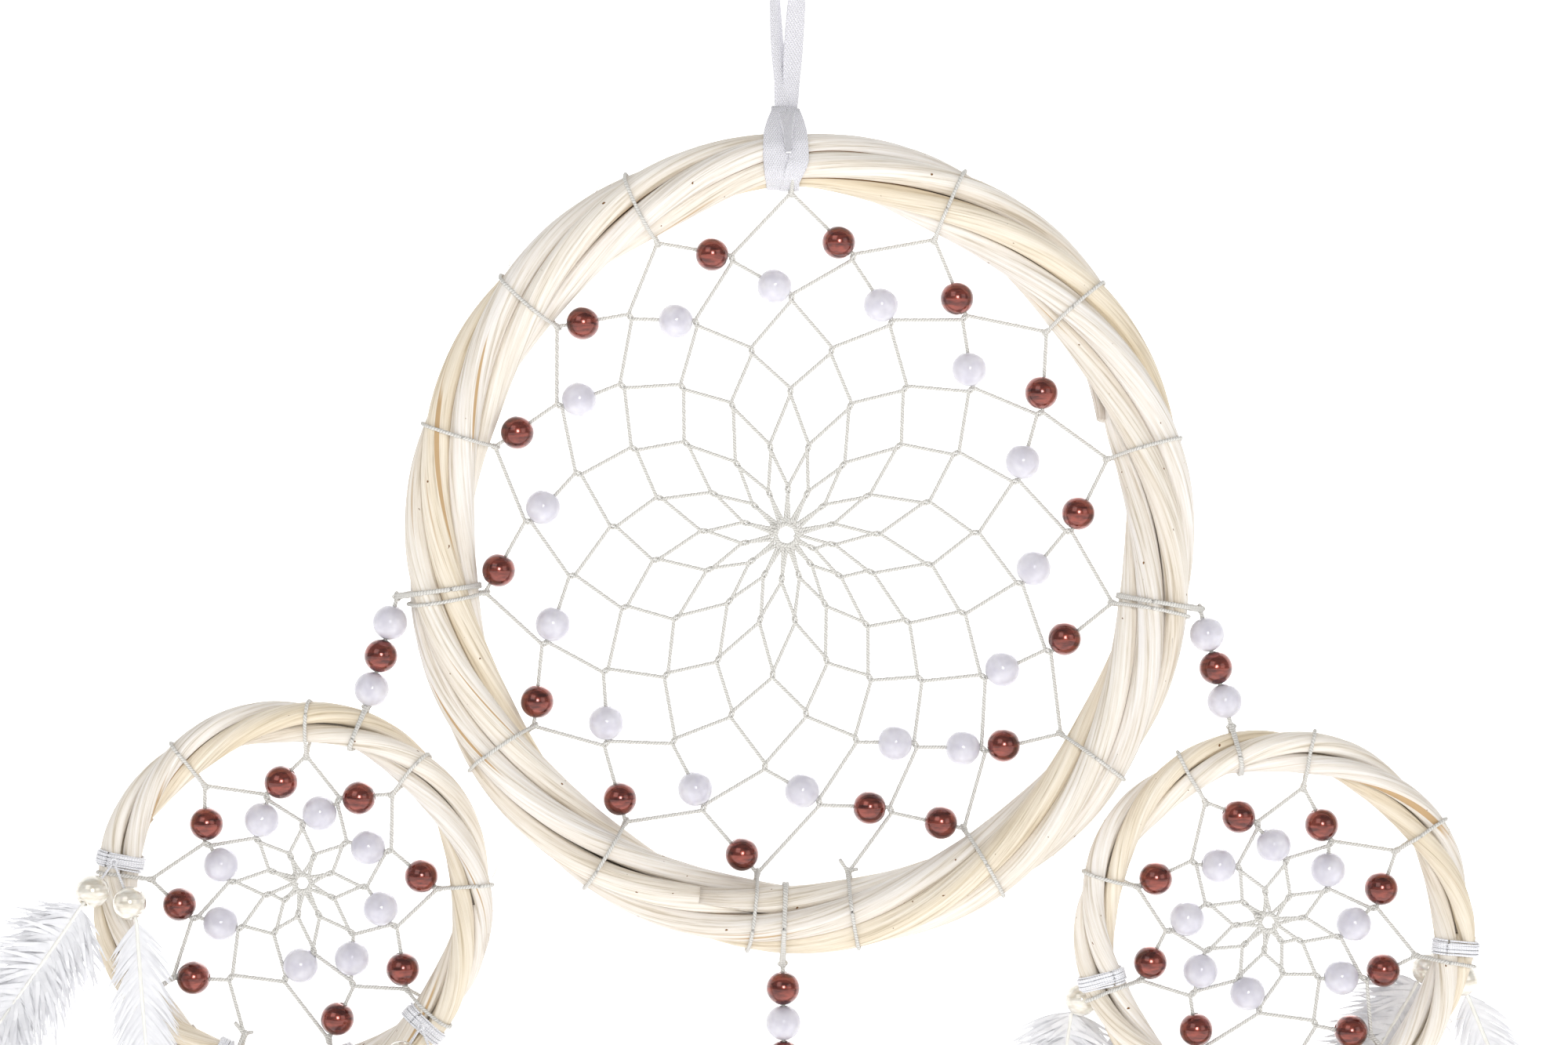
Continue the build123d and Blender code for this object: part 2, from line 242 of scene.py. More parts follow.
def stretched(tree, across, along, shift=0.0):
    """The mm map, with so many repeats a millimetre across the piece and along it."""
    place = add(tree, "ShaderNodeUVMap", uv_map="mm")
    scale = {"Scale": (across, along, 1), "Location": (shift, shift, 0)}
    return add(tree, "ShaderNodeMapping", {"Vector": place.outputs[0]}, scale).outputs[0]


def noise(tree, vector, detail=2.0, rough=0.5):
    """Cloudy noise that is one unit of the vector wide."""
    values = {"Scale": 1.0, "Detail": detail, "Roughness": rough}
    return add(tree, "ShaderNodeTexNoise", {"Vector": vector}, values).outputs["Fac"]


def ramp(tree, source, *stops):
    """Colours by value: each stop is a value and a chart colour."""
    node = add(tree, "ShaderNodeValToRGB", {"Fac": source})
    elements = node.color_ramp.elements
    while len(elements) < len(stops):
        elements.new(0.5)
    for element, (value, chart) in zip(elements, stops):
        element.position = value
        element.color = linear(chart)
    return node.outputs["Color"]


def mixed(tree, share, first, second, blend="MIX"):
    """Two colours mixed by a share, or multiplied."""
    node = add(tree, "ShaderNodeMix", data_type="RGBA", blend_type=blend)
    for socket, source in ((0, share), (6, first), (7, second)):
        if isinstance(source, bpy.types.NodeSocket):
            tree.links.new(source, node.inputs[socket])
        else:
            node.inputs[socket].default_value = source
    return node.outputs[2]


def relief(tree, shader, height, distance, strength=1.0):
    """Bumps of so many millimetres on the shader."""
    values = {"Distance": distance * MM, "Strength": strength}
    node = add(tree, "ShaderNodeBump", {"Height": height}, values)
    tree.links.new(node.outputs[0], shader.inputs["Normal"])


# %% [markdown]
# ### Peeled willow, bleached
# The canes are peeled rods, boiled and bleached nearly white. The eye sees fine fibres that run
# the whole length, some strands creamier than others, thin tan lines where bark was left in a
# groove, and a few dark specks. So noise is stretched far more along the cane than across it.
# Where two canes touch, a brown line of painted shade is drawn, from a number that the mesh keeps
# for how near each point lies to the other canes. The same number tints the pared cut ends brown.

# %% Willow
def willow(name, cream, light, shift):
    """Bleached willow: two tones in streaks, tan grooves, dark specks, brown painted shade where canes
    touch and browner cut ends.
    """
    material, tree, shader = new_finish(name, Roughness=0.62, IOR=1.45, Specular_IOR_Level=0.3)
    # fibres are about 0.1 mm wide, drawn 0.4 mm wide so that they show
    fibre = noise(tree, stretched(tree, 2.6, 0.03, shift), 4.0, 0.65)
    band = noise(tree, stretched(tree, 0.35, 0.008, shift + 7), 2.0)
    groove = noise(tree, stretched(tree, 0.9, 0.012, shift + 21), 1.0)
    speck = noise(tree, stretched(tree, 1.3, 0.5, shift + 50), 1.0)
    colour = ramp(tree, band, (0.36, cream), (0.62, light))
    streak = ramp(tree, fibre, (0.34, "#BFB29B"), (0.45, "#EDE8DF"), (0.6, "#FFFFFF"))
    colour = mixed(tree, 0.75, colour, streak, "MULTIPLY")
    tan = ramp(tree, groove, (0.0, "#FFFFFF"), (0.28, "#FFFFFF"), (0.31, "#000000"))
    colour = mixed(tree, tan, colour, linear("#BFA078"))
    spots = ramp(tree, speck, (0.0, "#FFFFFF"), (0.215, "#FFFFFF"), (0.235, "#000000"))
    colour = mixed(tree, spots, colour, linear("#7A5632"))
    # brown painted shade where canes touch, from the crevice number, which also tints the cut ends
    # brown as bare wood
    crevice_shade_and_cut = add(tree, "ShaderNodeAttribute", attribute_name="crevice").outputs["Fac"]
    deep = ramp(tree, crevice_shade_and_cut, (0.02, "#000000"), (0.3, "#505050"), (0.42, "#A0A0A0"), (0.48, "#FFFFFF"))
    colour = mixed(tree, deep, colour, linear("#7A5A36"))
    tree.links.new(colour, shader.inputs["Base Color"])
    relief(tree, shader, fibre, 0.35, 1.0)
    return material


WILLOW = [
    willow("bleached_willow_white", "#EAE4DD", "#F2EEEA", 3.0),
    willow("bleached_willow_cream", "#E6D9C2", "#EEE5D6", 11.0),
    willow("bleached_willow_pale", "#E9E1D6", "#F1ECE5", 29.0),
]

# %% [markdown]
# ### Twisted cotton cord, silk floss and woven tape
# The web is thin cord of two plies, so its twist is in the mesh, and the finish adds fine slanting
# ribs with painted shade in their hollows, as it does on the floss. Floss is smooth and shines along
# its length. The tape is plain woven cotton, and the crossing threads are drawn a little coarser than
# the real 0.4 mm so that they show.

# %% Cord, floss and tape
# at this scale a wave texture's bands repeat once in each unit of its vector
ONE_WAVE = 0.6283


def waves(tree, vector, **values):
    """Bands that run slanting over the vector, with the wave's other values."""
    node = add(tree, "ShaderNodeTexWave", {"Vector": vector}, {"Scale": ONE_WAVE, **values})
    node.bands_direction = "DIAGONAL"
    return node.outputs["Fac"]


def spun(name, chart, shade, sheen, rough, turns):
    """Yarn of one colour, with painted shade in the hollows of its twist."""
    material, tree, shader = new_finish(name, Roughness=rough, Specular_IOR_Level=0.3)
    shader.inputs["Sheen Weight"].default_value = sheen
    wave = waves(tree, stretched(tree, 0.6 * turns, turns), Distortion=0.4, Detail=1.0)
    # the shade colour is painted shade in the hollows between the twist's ribs
    colour = ramp(tree, wave, (0.0, shade), (0.6, chart))
    tree.links.new(colour, shader.inputs["Base Color"])
    relief(tree, shader, wave, 0.12, 0.7)
    return material


# each yarn's second colour is painted shade for the hollows of its twist
CORD = spun("twisted_cotton_cord", "#DCDAD5", "#B9B6B0", 0.0, 0.8, 1.4)
FLOSS = spun("silk_floss", "#F4F4F7", "#DCDCE2", 0.3, 0.4, 1.6)


def woven():
    """Plain woven cotton tape: over and under threads as two crossed waves."""
    material, tree, shader = new_finish("woven_cotton_tape", Roughness=0.8, Sheen_Weight=0.3)
    # the warp and weft are 0.4 mm apart, drawn 0.62 mm apart so that they show
    threads = 1 / 0.62
    warp, weft = (
        waves(tree, stretched(tree, threads * across, threads * 0.6), Distortion=0.2)
        for across in (1.0, -1.0)
    )
    weave = add(tree, "ShaderNodeMath", {0: warp, 1: weft}, operation="MULTIPLY").outputs[0]
    colour = ramp(tree, weave, (0.0, "#D8D6DF"), (0.35, "#FBFBFD"), (1.0, "#FFFFFF"))
    tree.links.new(colour, shader.inputs["Base Color"])
    relief(tree, shader, weave, 0.3, 1.0)
    return material


TAPE = woven()

# %% [markdown]
# ### Beads, pearls and feathers
# The brown beads are moulded plastic under pearl lacquer: fine mica makes them half metallic, and
# a clear coat gives the hard small highlight. The pale beads are milky acrylic, which light goes
# through and scatters in. The pearls are cream lacquer on a light core. The feathers are bleached
# white, so thin that light from all round fills them, on a quill like clear horn.

# %% Beads, pearls and feathers
def lacquer(name, chart, dark, metal, rough, **values):
    """Pearl lacquer: a colour that clouds a little over the bead, under a clear coat."""
    values = {"Metallic": metal, "Coat_Weight": 1.0, "Coat_Roughness": 0.04, **values}
    material, tree, shader = new_finish(name, Roughness=rough, **values)
    place = add(tree, "ShaderNodeTexCoord").outputs["Object"]
    # the mica lies in flat swirls, about 4 mm across and 1 mm high
    scale = add(tree, "ShaderNodeMapping", {"Vector": place}, {"Scale": (240, 240, 900)})
    cloud = noise(tree, scale.outputs[0], 3.0, 0.6)
    colour = ramp(tree, cloud, (0.36, dark), (0.62, chart))
    tree.links.new(colour, shader.inputs["Base Color"])
    return material


BROWN = lacquer("pearl_lacquer_brown", "#8F4032", "#4E1912", 0.75, 0.24)
PEARL = lacquer(
    "pearl_lacquer_cream",
    "#EFEBE2",
    "#D6CEBE",
    0.3,
    0.2,
    Subsurface_Weight=0.15,
    Subsurface_Radius=(0.003, 0.0022, 0.0015),
    Subsurface_Scale=0.5,
)


def milky():
    """Milky acrylic: some light goes straight through, and some is scattered, in faint swirls."""
    material, tree, shader = new_finish(
        "milky_acrylic",
        Roughness=0.08,
        IOR=1.49,
        Transmission_Weight=0.22,
        Subsurface_Weight=0.4,
        Subsurface_Radius=(0.004, 0.004, 0.005),
    )
    place = add(tree, "ShaderNodeTexCoord").outputs["Object"]
    scale = add(tree, "ShaderNodeMapping", {"Vector": place}, {"Scale": (260, 260, 260)})
    cloud = noise(tree, scale.outputs[0], 2.0, 0.6)
    colour = ramp(tree, cloud, (0.35, "#D9D6E0"), (0.68, "#EAE8EF"))
    tree.links.new(colour, shader.inputs["Base Color"])
    return material


MILKY = milky()


def plumage():
    """Bleached down: white barbs, a little grey and cool in random patches, with light through them."""
    material, tree, shader = new_finish("bleached_down", Roughness=0.7, Sheen_Weight=0.3)
    # light comes through thin down from all round, which a faint glow of its own stands for
    shader.inputs["Emission Color"].default_value = (1, 1, 1, 1)
    shader.inputs["Emission Strength"].default_value = 0.02
    cloud = noise(tree, stretched(tree, 0.4, 0.25), 2.0)
    colour = ramp(tree, cloud, (0.3, "#DADADE"), (0.7, "#EAEAEC"))
    tree.links.new(colour, shader.inputs["Base Color"])
    return material


def horn():
    """Quill: pale clear horn, smooth, with faint bands along it."""
    material, tree, shader = new_finish("quill_horn", Roughness=0.25, Coat_Weight=0.4)
    bands = noise(tree, stretched(tree, 1.0, 0.25), 2.0)
    colour = ramp(tree, bands, (0.3, "#E6E4DC"), (0.7, "#F7F6F2"))
    tree.links.new(colour, shader.inputs["Base Color"])
    return material


DOWN = plumage()
HORN = horn()
print("finishes", len(bpy.data.materials))

# %% [markdown]
# ## The hoops, as numbers
# A hoop is a bundle of canes that coil round its middle line, three turns in each round. The
# sizes are the model's own, in millimetres. Angles are in degrees, from the right and upwards.

# %% Hoops
# the turns of a cane round its bundle in one round of the hoop
TURNS = 3
# where the tape is knotted, how far along the hoop the knot presses, and how hard
KNOT_ANGLE = 92.0
KNOT_REACH = 14.0
PRESSED = 2.0
# the room between the canes and the cord lashed round them
FREE = 0.25
CORD_RADIUS = 0.5


class Hoop:
    """A ring of canes that stands in the XZ plane."""

    def __init__(self, name, centre, radius, oval, ends, phase, cane_radius, coil):
        self.name = name
        self.body = name + "_hoop"
        self.centre = np.array([centre[0], 0, centre[1]])
        self.radius = radius
        self.oval = oval
        self.ends = ends
        self.phase = phase
        self.canes = len(ends)
        self.cane_radius = cane_radius
        self.coil = coil
        self.pressed = PRESSED if name == "main" else 0.0
        self.reach = coil + cane_radius
        self.lashed = self.reach + FREE + 2 * CORD_RADIUS

    def squeeze(self, angle):
        """How far the tape's knot presses the canes together: pressed × exp(−(away / reach)²)."""
        away = (np.asarray(angle, float) - KNOT_ANGLE + 180) % 360 - 180
        return self.pressed * np.exp(-((away / KNOT_REACH) ** 2))

    def middle(self, angle):
        """The bundle's middle: the centre, plus radius − oval × cos 2 angle + squeeze, outwards."""
        radius = self.radius - self.oval * np.cos(np.radians(2 * np.asarray(angle, float)))
        radius = radius + self.squeeze(angle)
        return self.centre + outward(angle) * radius[..., None]

    def turn(self, angle, number):
        """Where a cane is round the bundle, in radians: 0 at the outside, a quarter in front."""
        return np.radians(TURNS * angle + 360 * number / self.canes + self.phase)

    def spread(self, number):
        """How much wider than round a rod is, from 1.03 to 1.13, in steps that never repeat."""
        return 1.03 + 0.1 * (0.618 * number % 1)


def outward(angle):
    """The direction away from a hoop's centre."""
    turn = np.radians(np.asarray(angle, float))
    return np.stack([np.cos(turn), 0 * turn, np.sin(turn)], -1)


MAIN_ENDS = (26.5, 140.8, 236.8, 332.8, 258.6)
MAIN = Hoop("main", (3.3, -156.0), 89.3, 1.9, MAIN_ENDS, 135.5, 3.1, 5.6)
SMALL_SIZES = 43.55, 0.0, (-10.5, 159.5, 239.5), 31.5, 2.45, 3.0
LEFT = Hoop("left", (-119.6, -242.7), *SMALL_SIZES)
RIGHT = Hoop("right", (118.7, -249.8), *SMALL_SIZES)
BOTTOM = Hoop("bottom", (-0.5, -336.0), *SMALL_SIZES)
SMALL = [LEFT, RIGHT, BOTTOM]
low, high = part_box("left_hoop_canes")
print("left hoop", LEFT.centre, "its box", np.array(low) / MM, np.array(high) / MM)

# %% [markdown]
# ## The tape loop
# The whole piece hangs from a narrow cotton tape. The tape turns from edge-on over the nail to
# nearly face-on above the knot, where it is gathered narrower.

# %% A line through control points
def smooth_line(points, resolution=24):
    """The points of a NURBS curve with these control points, as Blender works it out."""
    data = bpy.data.curves.new("route", "CURVE")
    data.dimensions = "3D"
    data.resolution_u = resolution
    spline = data.splines.new("NURBS")
    spline.points.add(len(points) - 1)
    for point, place in zip(spline.points, points):
        point.co = (*(np.array(place) * MM), 1)
    spline.order_u = 3
    spline.use_endpoint_u = True
    route = bpy.data.objects.new("route", data)
    mesh = bpy.data.meshes.new_from_object(route)
    line = np.empty(len(mesh.vertices) * 3)
    mesh.vertices.foreach_get("co", line)
    bpy.data.objects.remove(route)
    bpy.data.curves.remove(data)
    bpy.data.meshes.remove(mesh)
    return line.reshape(-1, 3) / MM


def flat_outline(width, thick, sides=16):
    """A tape's section: wide and thin, with round edges and a slightly thicker selvedge."""
    turn = np.linspace(0, 2 * np.pi, sides, endpoint=False)
    x = np.sign(np.cos(turn)) * np.abs(np.cos(turn)) ** 0.35
    y = np.sign(np.sin(turn)) * np.abs(np.sin(turn)) ** 0.6
    return np.stack([x * width / 2, y * thick / 2], -1)


# %% The tape on its nail
TAPE_WIDTH = 6.0
TAPE_THICK = 0.7
TAPE_ROUTE = [
    (-0.95, -0.65, -50.4),
    (-1.2, -0.65, -44),
    (-2.3, -0.65, -34),
    (-2.8, -0.4, -20),
    (-4.5, 0, -8),
    (-4.5, 0, 0.4),
    (4.5, 0, 0.4),
    (4.5, 0, -8),
    (2.9, 0.4, -20),
    (1.9, 0.65, -34),
    (1.2, 0.65, -44),
    (0.95, 0.65, -50.4),
]
line = smooth_line(TAPE_ROUTE)
height = line[:, 2]
# the tape's turn from face-on, in degrees, at four heights of its left leg and of its right one
TURN_HEIGHTS = [-50, -44, -26, -6]
left_leg = np.interp(height, TURN_HEIGHTS, [25, 52, 66, 90])
right_leg = np.interp(height, TURN_HEIGHTS, [15, 32, 44, 90])
half = np.arange(len(line)) < len(line) / 2
facing = np.radians(np.where(half, left_leg, right_leg))
across = np.stack([np.cos(facing), np.sin(facing), 0 * facing], -1)
gathered = np.interp(height, [-50.4, -47, -38, -30], [0.62, 0.74, 0.95, 1.0])
outline = flat_outline(TAPE_WIDTH, TAPE_THICK) * np.stack([gathered, 1 + 0 * gathered], -1)[:, None]
tape = piece("tape_loop", carry(line, outline, across), TAPE, "ribbon", ["ribbon_loop"])
tape_length = lengths_along(line)[-1]
print("tape length", round(tape_length, 1))

# %% [markdown]
# ## What goes round a bundle
# Cord, thread and tape pull tight over the canes and bridge the hollows between them. Seen along
# the bundle that is a convex outline round circles. In each direction it touches whichever
# circle reaches furthest, and from one circle to the next it is straight.

# %% Tight turns
def tight(circles, thick, count=96):
    """The tight outline round circles given as rows of across, deep and radius.

    For each direction the furthest of centre · direction + radius wins, and the outline there is
    that centre plus (radius + thick) × direction. The result is spaced evenly along its length.
    """
    turn = np.linspace(-np.pi, np.pi, 720, endpoint=False)
    way = np.stack([np.cos(turn), np.sin(turn)], -1)
    reach = way @ circles[:, :2].T + circles[:, 2]
    best = circles[np.argmax(reach, axis=1)]
    outline = best[:, :2] + way * (best[:, 2:] + thick)
    outline = np.vstack([outline, outline[:1]])
    far = lengths_along(outline)
    even = np.linspace(0, far[-1], count, endpoint=False)
    return np.stack([np.interp(even, far, outline[:, axis]) for axis in (0, 1)], -1)


def bundle(hoop, angle, extra=()):
    """The canes cut across at an angle, as circles, and any extra ones."""
    turn = hoop.turn(angle, np.arange(hoop.canes))
    radius = np.full(hoop.canes, hoop.cane_radius)
    coil = hoop.coil - hoop.squeeze(angle)
    canes = np.stack([coil * np.cos(turn), -coil * np.sin(turn), radius], -1)
    return np.vstack([canes, *(np.array([one]) for one in extra)])


def round_bundle(hoop, angle, outline, drift=0.0):
    """An outline across the bundle as points in space, moved along the bundle by drift."""
    along = np.cross(outward(angle), DEPTH)
    place = hoop.middle(angle) + outline[:, :1] * outward(angle) + outline[:, 1:] * DEPTH
    return place - along * np.broadcast_to(drift, len(outline))[:, None]


# %% [markdown]
# ## The lark's head knot
# The tape goes round the bundle twice, side by side, and over its own bight. Each band is a flat
# outline carried round the tight outline of the canes. Above the canes it stands off in a small
# lobe, because the bight holds it there, and the folded neck goes down between the two lobes.

# %% Bands and neck
# a band's lobe leans from this far above the canes' middle, and fully so this much higher
LOBE_FOOT, LOBE_HIGH = 5.5, 6.0
# under the canes it moves sideways from this far below their middle, over this depth
SOLE_TOP, SOLE_DEEP = 1.0, 5.0


def band(angle, width, lobe, tilt, lean, foot, over):
    """A band of tape round the top of the large hoop, slanted by tilt along the bundle.

    At the top of its lobe it leans towards the neck, and is gathered to two thirds of its width.
    Under the canes it moves sideways by foot, and over is how far it rides up on its neighbour.
    """
    outline = tight(bundle(MAIN, angle, [lobe]), TAPE_THICK / 2 + 0.05 + over, 120)
    turn = np.arctan2(outline[:, 1], outline[:, 0])
    crown = np.clip((outline[:, 0] - LOBE_FOOT) / LOBE_HIGH, 0, 1) ** 1.5
    sole = np.clip((-outline[:, 0] - SOLE_TOP) / SOLE_DEEP, 0, 1)
    path = round_bundle(MAIN, angle, outline, tilt * np.sin(turn) + lean * crown + foot * sole)
    lift = 1 + 0.05 * np.sin(3 * turn)
    gather = lift * (1 - 0.36 * crown)
    section = flat_outline(width, TAPE_THICK) * np.stack([gather, lift], -1)[:, None]
    return carry(path, section, np.array([1.0, 0, 0]), closed=True)


left_band = band(93.25, 6.0, (10.4, -0.6, 1.9), tilt=0.4, lean=1.0, foot=-0.2, over=0.0)
right_band = band(90.35, 4.7, (9.4, -0.4, 1.9), tilt=-0.3, lean=-0.8, foot=-1.9, over=0.3)
NECK_ROUTE = [
    (0.1, 0.2, -50.6),
    (0.15, -2.4, -52.2),
    (0.3, -5.0, -54.8),
    (0.5, -7.2, -58.6),
    (0.6, -7.9, -62.0),
]
neck_line = smooth_line(NECK_ROUTE)
share = np.linspace(0, 1, len(neck_line))
narrow = np.stack([1.0 - 0.75 * share, 1 + 0.8 * np.sin(np.pi * share)], -1)[:, None]
neck = carry(neck_line, flat_outline(5.2, 1.4) * narrow, np.array([1.0, 0, 0]))
BIGHT_ROUTE = [(-2.8, 0.8, -54.5), (-1.2, 2.4, -52.6), (1.4, 2.4, -52.9), (2.8, 0.8, -54.8)]
bight = carry(smooth_line(BIGHT_ROUTE), flat_outline(5.0, TAPE_THICK), DEPTH)
knot_patch = join([left_band, right_band, neck, bight])
piece("larks_head_knot", knot_patch, TAPE, "main_hoop", ["ribbon_knot"])

# %% [markdown]
# ## The strings of the small hoops
# A short taut cord with three beads holds each small hoop. Cord is two plies twisted together, so
# its outline is a circle with two soft lobes that turn as it goes.

# %% Twisted cord
PLY_TURN = 4.2


def cord_outline(path, radius, sides=8, pitch=PLY_TURN):
    """radius × (1 + 0.08 cos 2(angle − turn)), where turn is one whole turn in each pitch."""
    turn = np.linspace(0, 2 * np.pi, sides, endpoint=False)
    twist = 2 * np.pi * lengths_along(path)[:, None] / pitch
    wide = radius * (1 + 0.08 * np.cos(2 * (turn - twist)))
    return np.stack([wide * np.cos(turn), wide * np.sin(turn)], -1)


def cord_along(path, radius=CORD_RADIUS, side=DEPTH, closed=False):
    """Two-ply cord along a path."""
    return carry(path, cord_outline(path, radius), side, closed)


def between(start, end, step=0.36):
    """Evenly spaced points from start to end."""
    count = max(int(np.linalg.norm(end - start) / step), 3)
    return start + (end - start) * np.linspace(0, 1, count)[:, None]


def place_of(joint):
    """A joint's place, in millimetres."""
    return np.array(joints[joint]["pos_m"]) / MM


# %% The strings
for hoop in SMALL:
    name = hoop.name + "_string"
    pivot = place_of(name + "_swing")
    swivel = place_of(hoop.body + "_turn")
    way = unit(swivel - pivot)
    route = [pivot - way * 0.6, (pivot + swivel) / 2 + DEPTH * 0.15, swivel + way * 0.5]
    line = smooth_line(route, 40)
    string = piece(name, cord_along(line), CORD, name, [name + "_cord"])
    print(name, "length", round(lengths_along(line)[-1], 1))

# %% [markdown]
# ## The canes
# Each rod is swept along a helix round the bundle. A real rod is never round: it is a little
# flattened, wanders, and has ribs along it, so the outline is a sum of a few waves round it that
# drift slowly along its length. Its first end lies on top, pared to a slant as the maker cuts it,
# and its last end is tucked in under the neighbours.

# %% One cane
CANE_SIDES = 44
RINGS_A_MM = 4.4
END_LAP = 7.0
# how much of a cane is tucked in, pared and sprung loose, in millimetres from its end
TUCKED = 22.0
PARED = 18.0
LOOSE = 28.0
# how far the free end springs, inwards and forwards, on a cane of the large hoop
SPRING_IN = 2.6
SPRING_OUT = 1.4
# the waves round a cane's outline, each with how many there are and how high they stand
RIBS = ((2, 0.035), (3, 0.022), (5, 0.014), (8, 0.012), (13, 0.012))
# a rod is pressed thinner across the bundle
THIN = 0.96
# two canes closer than this share a crevice, painted with shade
CREVICE = 0.6


def cane(hoop, number, seed):
    """A rod along middle + coil × (outward cos turn − depth sin turn), with a ribbed outline.

    Its first end lies on top, springs up a little and is pared thin, so the cut shows. Its last
    end dives under its neighbours at the same place: the coil shrinks there.
    """
    random = np.random.default_rng(seed)
    start = hoop.ends[number]
    lap = np.degrees(END_LAP / hoop.radius)
    rings = int(hoop.radius * RINGS_A_MM)
    angle = np.linspace(start - lap, start + 360 + lap, rings)
    turn = hoop.turn(angle, number)
    radial = outward(angle) * np.cos(turn)[:, None] - DEPTH * np.sin(turn)[:, None]
    far = hoop.radius * np.radians(angle - angle[0])
    dive = np.clip(1 - (far[-1] - far) / TUCKED, 0, 1) ** 2
    pared = np.clip(far / PARED, 0, 1)
    coil = hoop.coil - hoop.squeeze(angle)
    path = hoop.middle(angle) + radial * (coil * (1 - 0.6 * dive))[:, None]
    path += radial * (1 - pared)[:, None] * hoop.cane_radius * 0.35
    loose = np.clip(1 - far / LOOSE, 0, 1) ** 2 * max(-np.cos(turn[0]), 0)
    spring = outward(angle) * SPRING_IN + DEPTH * SPRING_OUT
    path -= spring * loose[:, None] * hoop.cane_radius / MAIN.cane_radius
    slow = far[:, None] / 40
    round_turn = np.linspace(0, 2 * np.pi, CANE_SIDES, endpoint=False)
    swell = np.zeros((rings, CANE_SIDES))
    for waves_round, high in RIBS:
        phase, drift = random.uniform(0, 2 * np.pi, 2)
        wander = phase + 0.9 * np.sin(slow * (0.3 + drift / 9) + drift)
        swell += high * np.cos(waves_round * round_turn + wander)
    stout = 1 + 0.03 * np.sin(slow * random.uniform(0.5, 1.1) + random.uniform(0, 6))
    stout *= 1 - 0.35 * dive[:, None]
    wide = hoop.cane_radius * (1 + swell) * stout
    # pressed thinner across the bundle, it spreads sideways over its neighbours
    thin = THIN * wide * np.cos(round_turn) * (0.35 + 0.65 * pared)[:, None]
    spread = hoop.spread(number) * wide * np.sin(round_turn) * (0.6 + 0.4 * pared)[:, None]
    patch = carry(path, np.stack([thin, spread], -1), radial)
    # near other rods the crevice number gives painted shade; the pared end, up to 0.4, and the caps,
    # 0.36, are tinted brown as cut wood
    cut = np.sqrt(1 - pared)[:, None] * np.ones(CANE_SIDES) * 0.4
    return patch, np.append(np.maximum(crevice(hoop, number, angle, patch[0]), cut), [0.36, 0.36])


def crevice(hoop, number, angle, vertices):
    """How near each point of a rod is to the other rods, for painted shade: 0.5 where they touch, 0 at
    CREVICE.

    Across the bundle each other rod is an ellipse, flattened and spread as the rods are, and the
    distance to it is near to radius × (√((a / thin)² + (b / spread)²) − 1).
    """
    off = vertices[:-2].reshape(len(angle), -1, 3) - hoop.middle(angle)[:, None]
    a = np.sum(off * outward(angle)[:, None], axis=2)
    b = np.sum(off * DEPTH, axis=2)
    coil = hoop.coil - hoop.squeeze(angle)
    nearest = np.full(a.shape, 9.0)
    for other in range(hoop.canes):
        if other == number:
            continue
        turn = hoop.turn(angle, other)
        c, s = np.cos(turn)[:, None], -np.sin(turn)[:, None]
        x, y = a - coil[:, None] * c, b - coil[:, None] * s
        far = np.hypot((x * c + y * s) / THIN, (y * c - x * s) / hoop.spread(other))
        nearest = np.minimum(nearest, far - hoop.cane_radius)
    return np.clip((CREVICE - nearest) / (2 * CREVICE), 0, 1)


for number in range(MAIN.canes):
    shade = WILLOW[(number * 2) % len(WILLOW)]
    node = f"main_cane_{number + 1}"
    patch, depth = cane(MAIN, number, 40 + number)
    piece(f"willow_{number + 1}", patch, shade, "main_hoop", [node], depth)
for order, hoop in enumerate(SMALL):
    for number in range(hoop.canes):
        shade = WILLOW[(number + order) % len(WILLOW)]
        patch, depth = cane(hoop, number, 60 + 10 * order + number)
        name, node = f"{hoop.name}_willow_{number + 1}", hoop.body + "_canes"
        piece(name, patch, shade, hoop.body, [node], depth)

# %% Splinters
WISPS_AT_A_CUT = 16
WISPS_APART = 5


def wisp(root, way, length, random):
    """A loose fibre: root + way × length × share, bent by a random amount × share²."""
    share = np.linspace(0, 1, 10)[:, None]
    bend = random.uniform(-0.4, 0.4, 3) * length
    path = root + way * length * share + bend * share**2
    thin = np.linspace(1, 0.5, 10)[:, None, None]
    return carry(path, circle(0.09, 4) * thin, unit(np.cross(way, [0.3, 0.5, 0.8])))


random = np.random.default_rng(7)
for hoop in [MAIN, *SMALL]:
    wisps = []
    for number, end in enumerate(hoop.ends):
        turn = hoop.turn(end, number)
        radial = outward(end) * np.cos(turn) - DEPTH * np.sin(turn)
        cut = hoop.middle(end) + radial * (hoop.coil + 0.2)
        on = np.cross(outward(end), DEPTH)
        for _ in range(WISPS_AT_A_CUT):
            way = unit(on * -1.0 + radial * random.uniform(0.1, 0.6) + random.normal(0, 0.25, 3))
            root = cut + on * random.uniform(-1, 7) + random.normal(0, 0.8, 3)
            wisps.append(wisp(root, way, random.uniform(2, 5), random))
    for angle in random.uniform(0, 360, int(hoop.radius / WISPS_APART)):
        turn = random.uniform(-1.2, 1.2)
        radial = outward(angle) * np.cos(turn) - DEPTH * np.sin(turn)
        on = np.cross(outward(angle), DEPTH) * random.choice([-1, 1])
        root = hoop.middle(angle) + radial * (hoop.reach - 0.4)
        way = unit(on + radial * random.uniform(0.2, 0.6))
        wisps.append(wisp(root, way, random.uniform(3, 7), random))
    piece(hoop.name + "_splinters", join(wisps), WILLOW[2], hoop.body)

# %% [markdown]
# ## The webs
# One cord makes a web: it is lashed to the hoop at each anchor, and every later knot is a half
# hitch on the stretch between two earlier knots, pulled towards the centre. The knots are worked
# out with that rule, round after round, and then the cord, hitches and lashings are laid on them.

# %% Knots by rule
BEAD_RADIUS = 4.0
BORE_RADIUS = 0.9
# how near to a knot a bead can lie, and the steps in which it is tried further along
BEAD_REST = 5.0
BEAD_STEP = 0.1


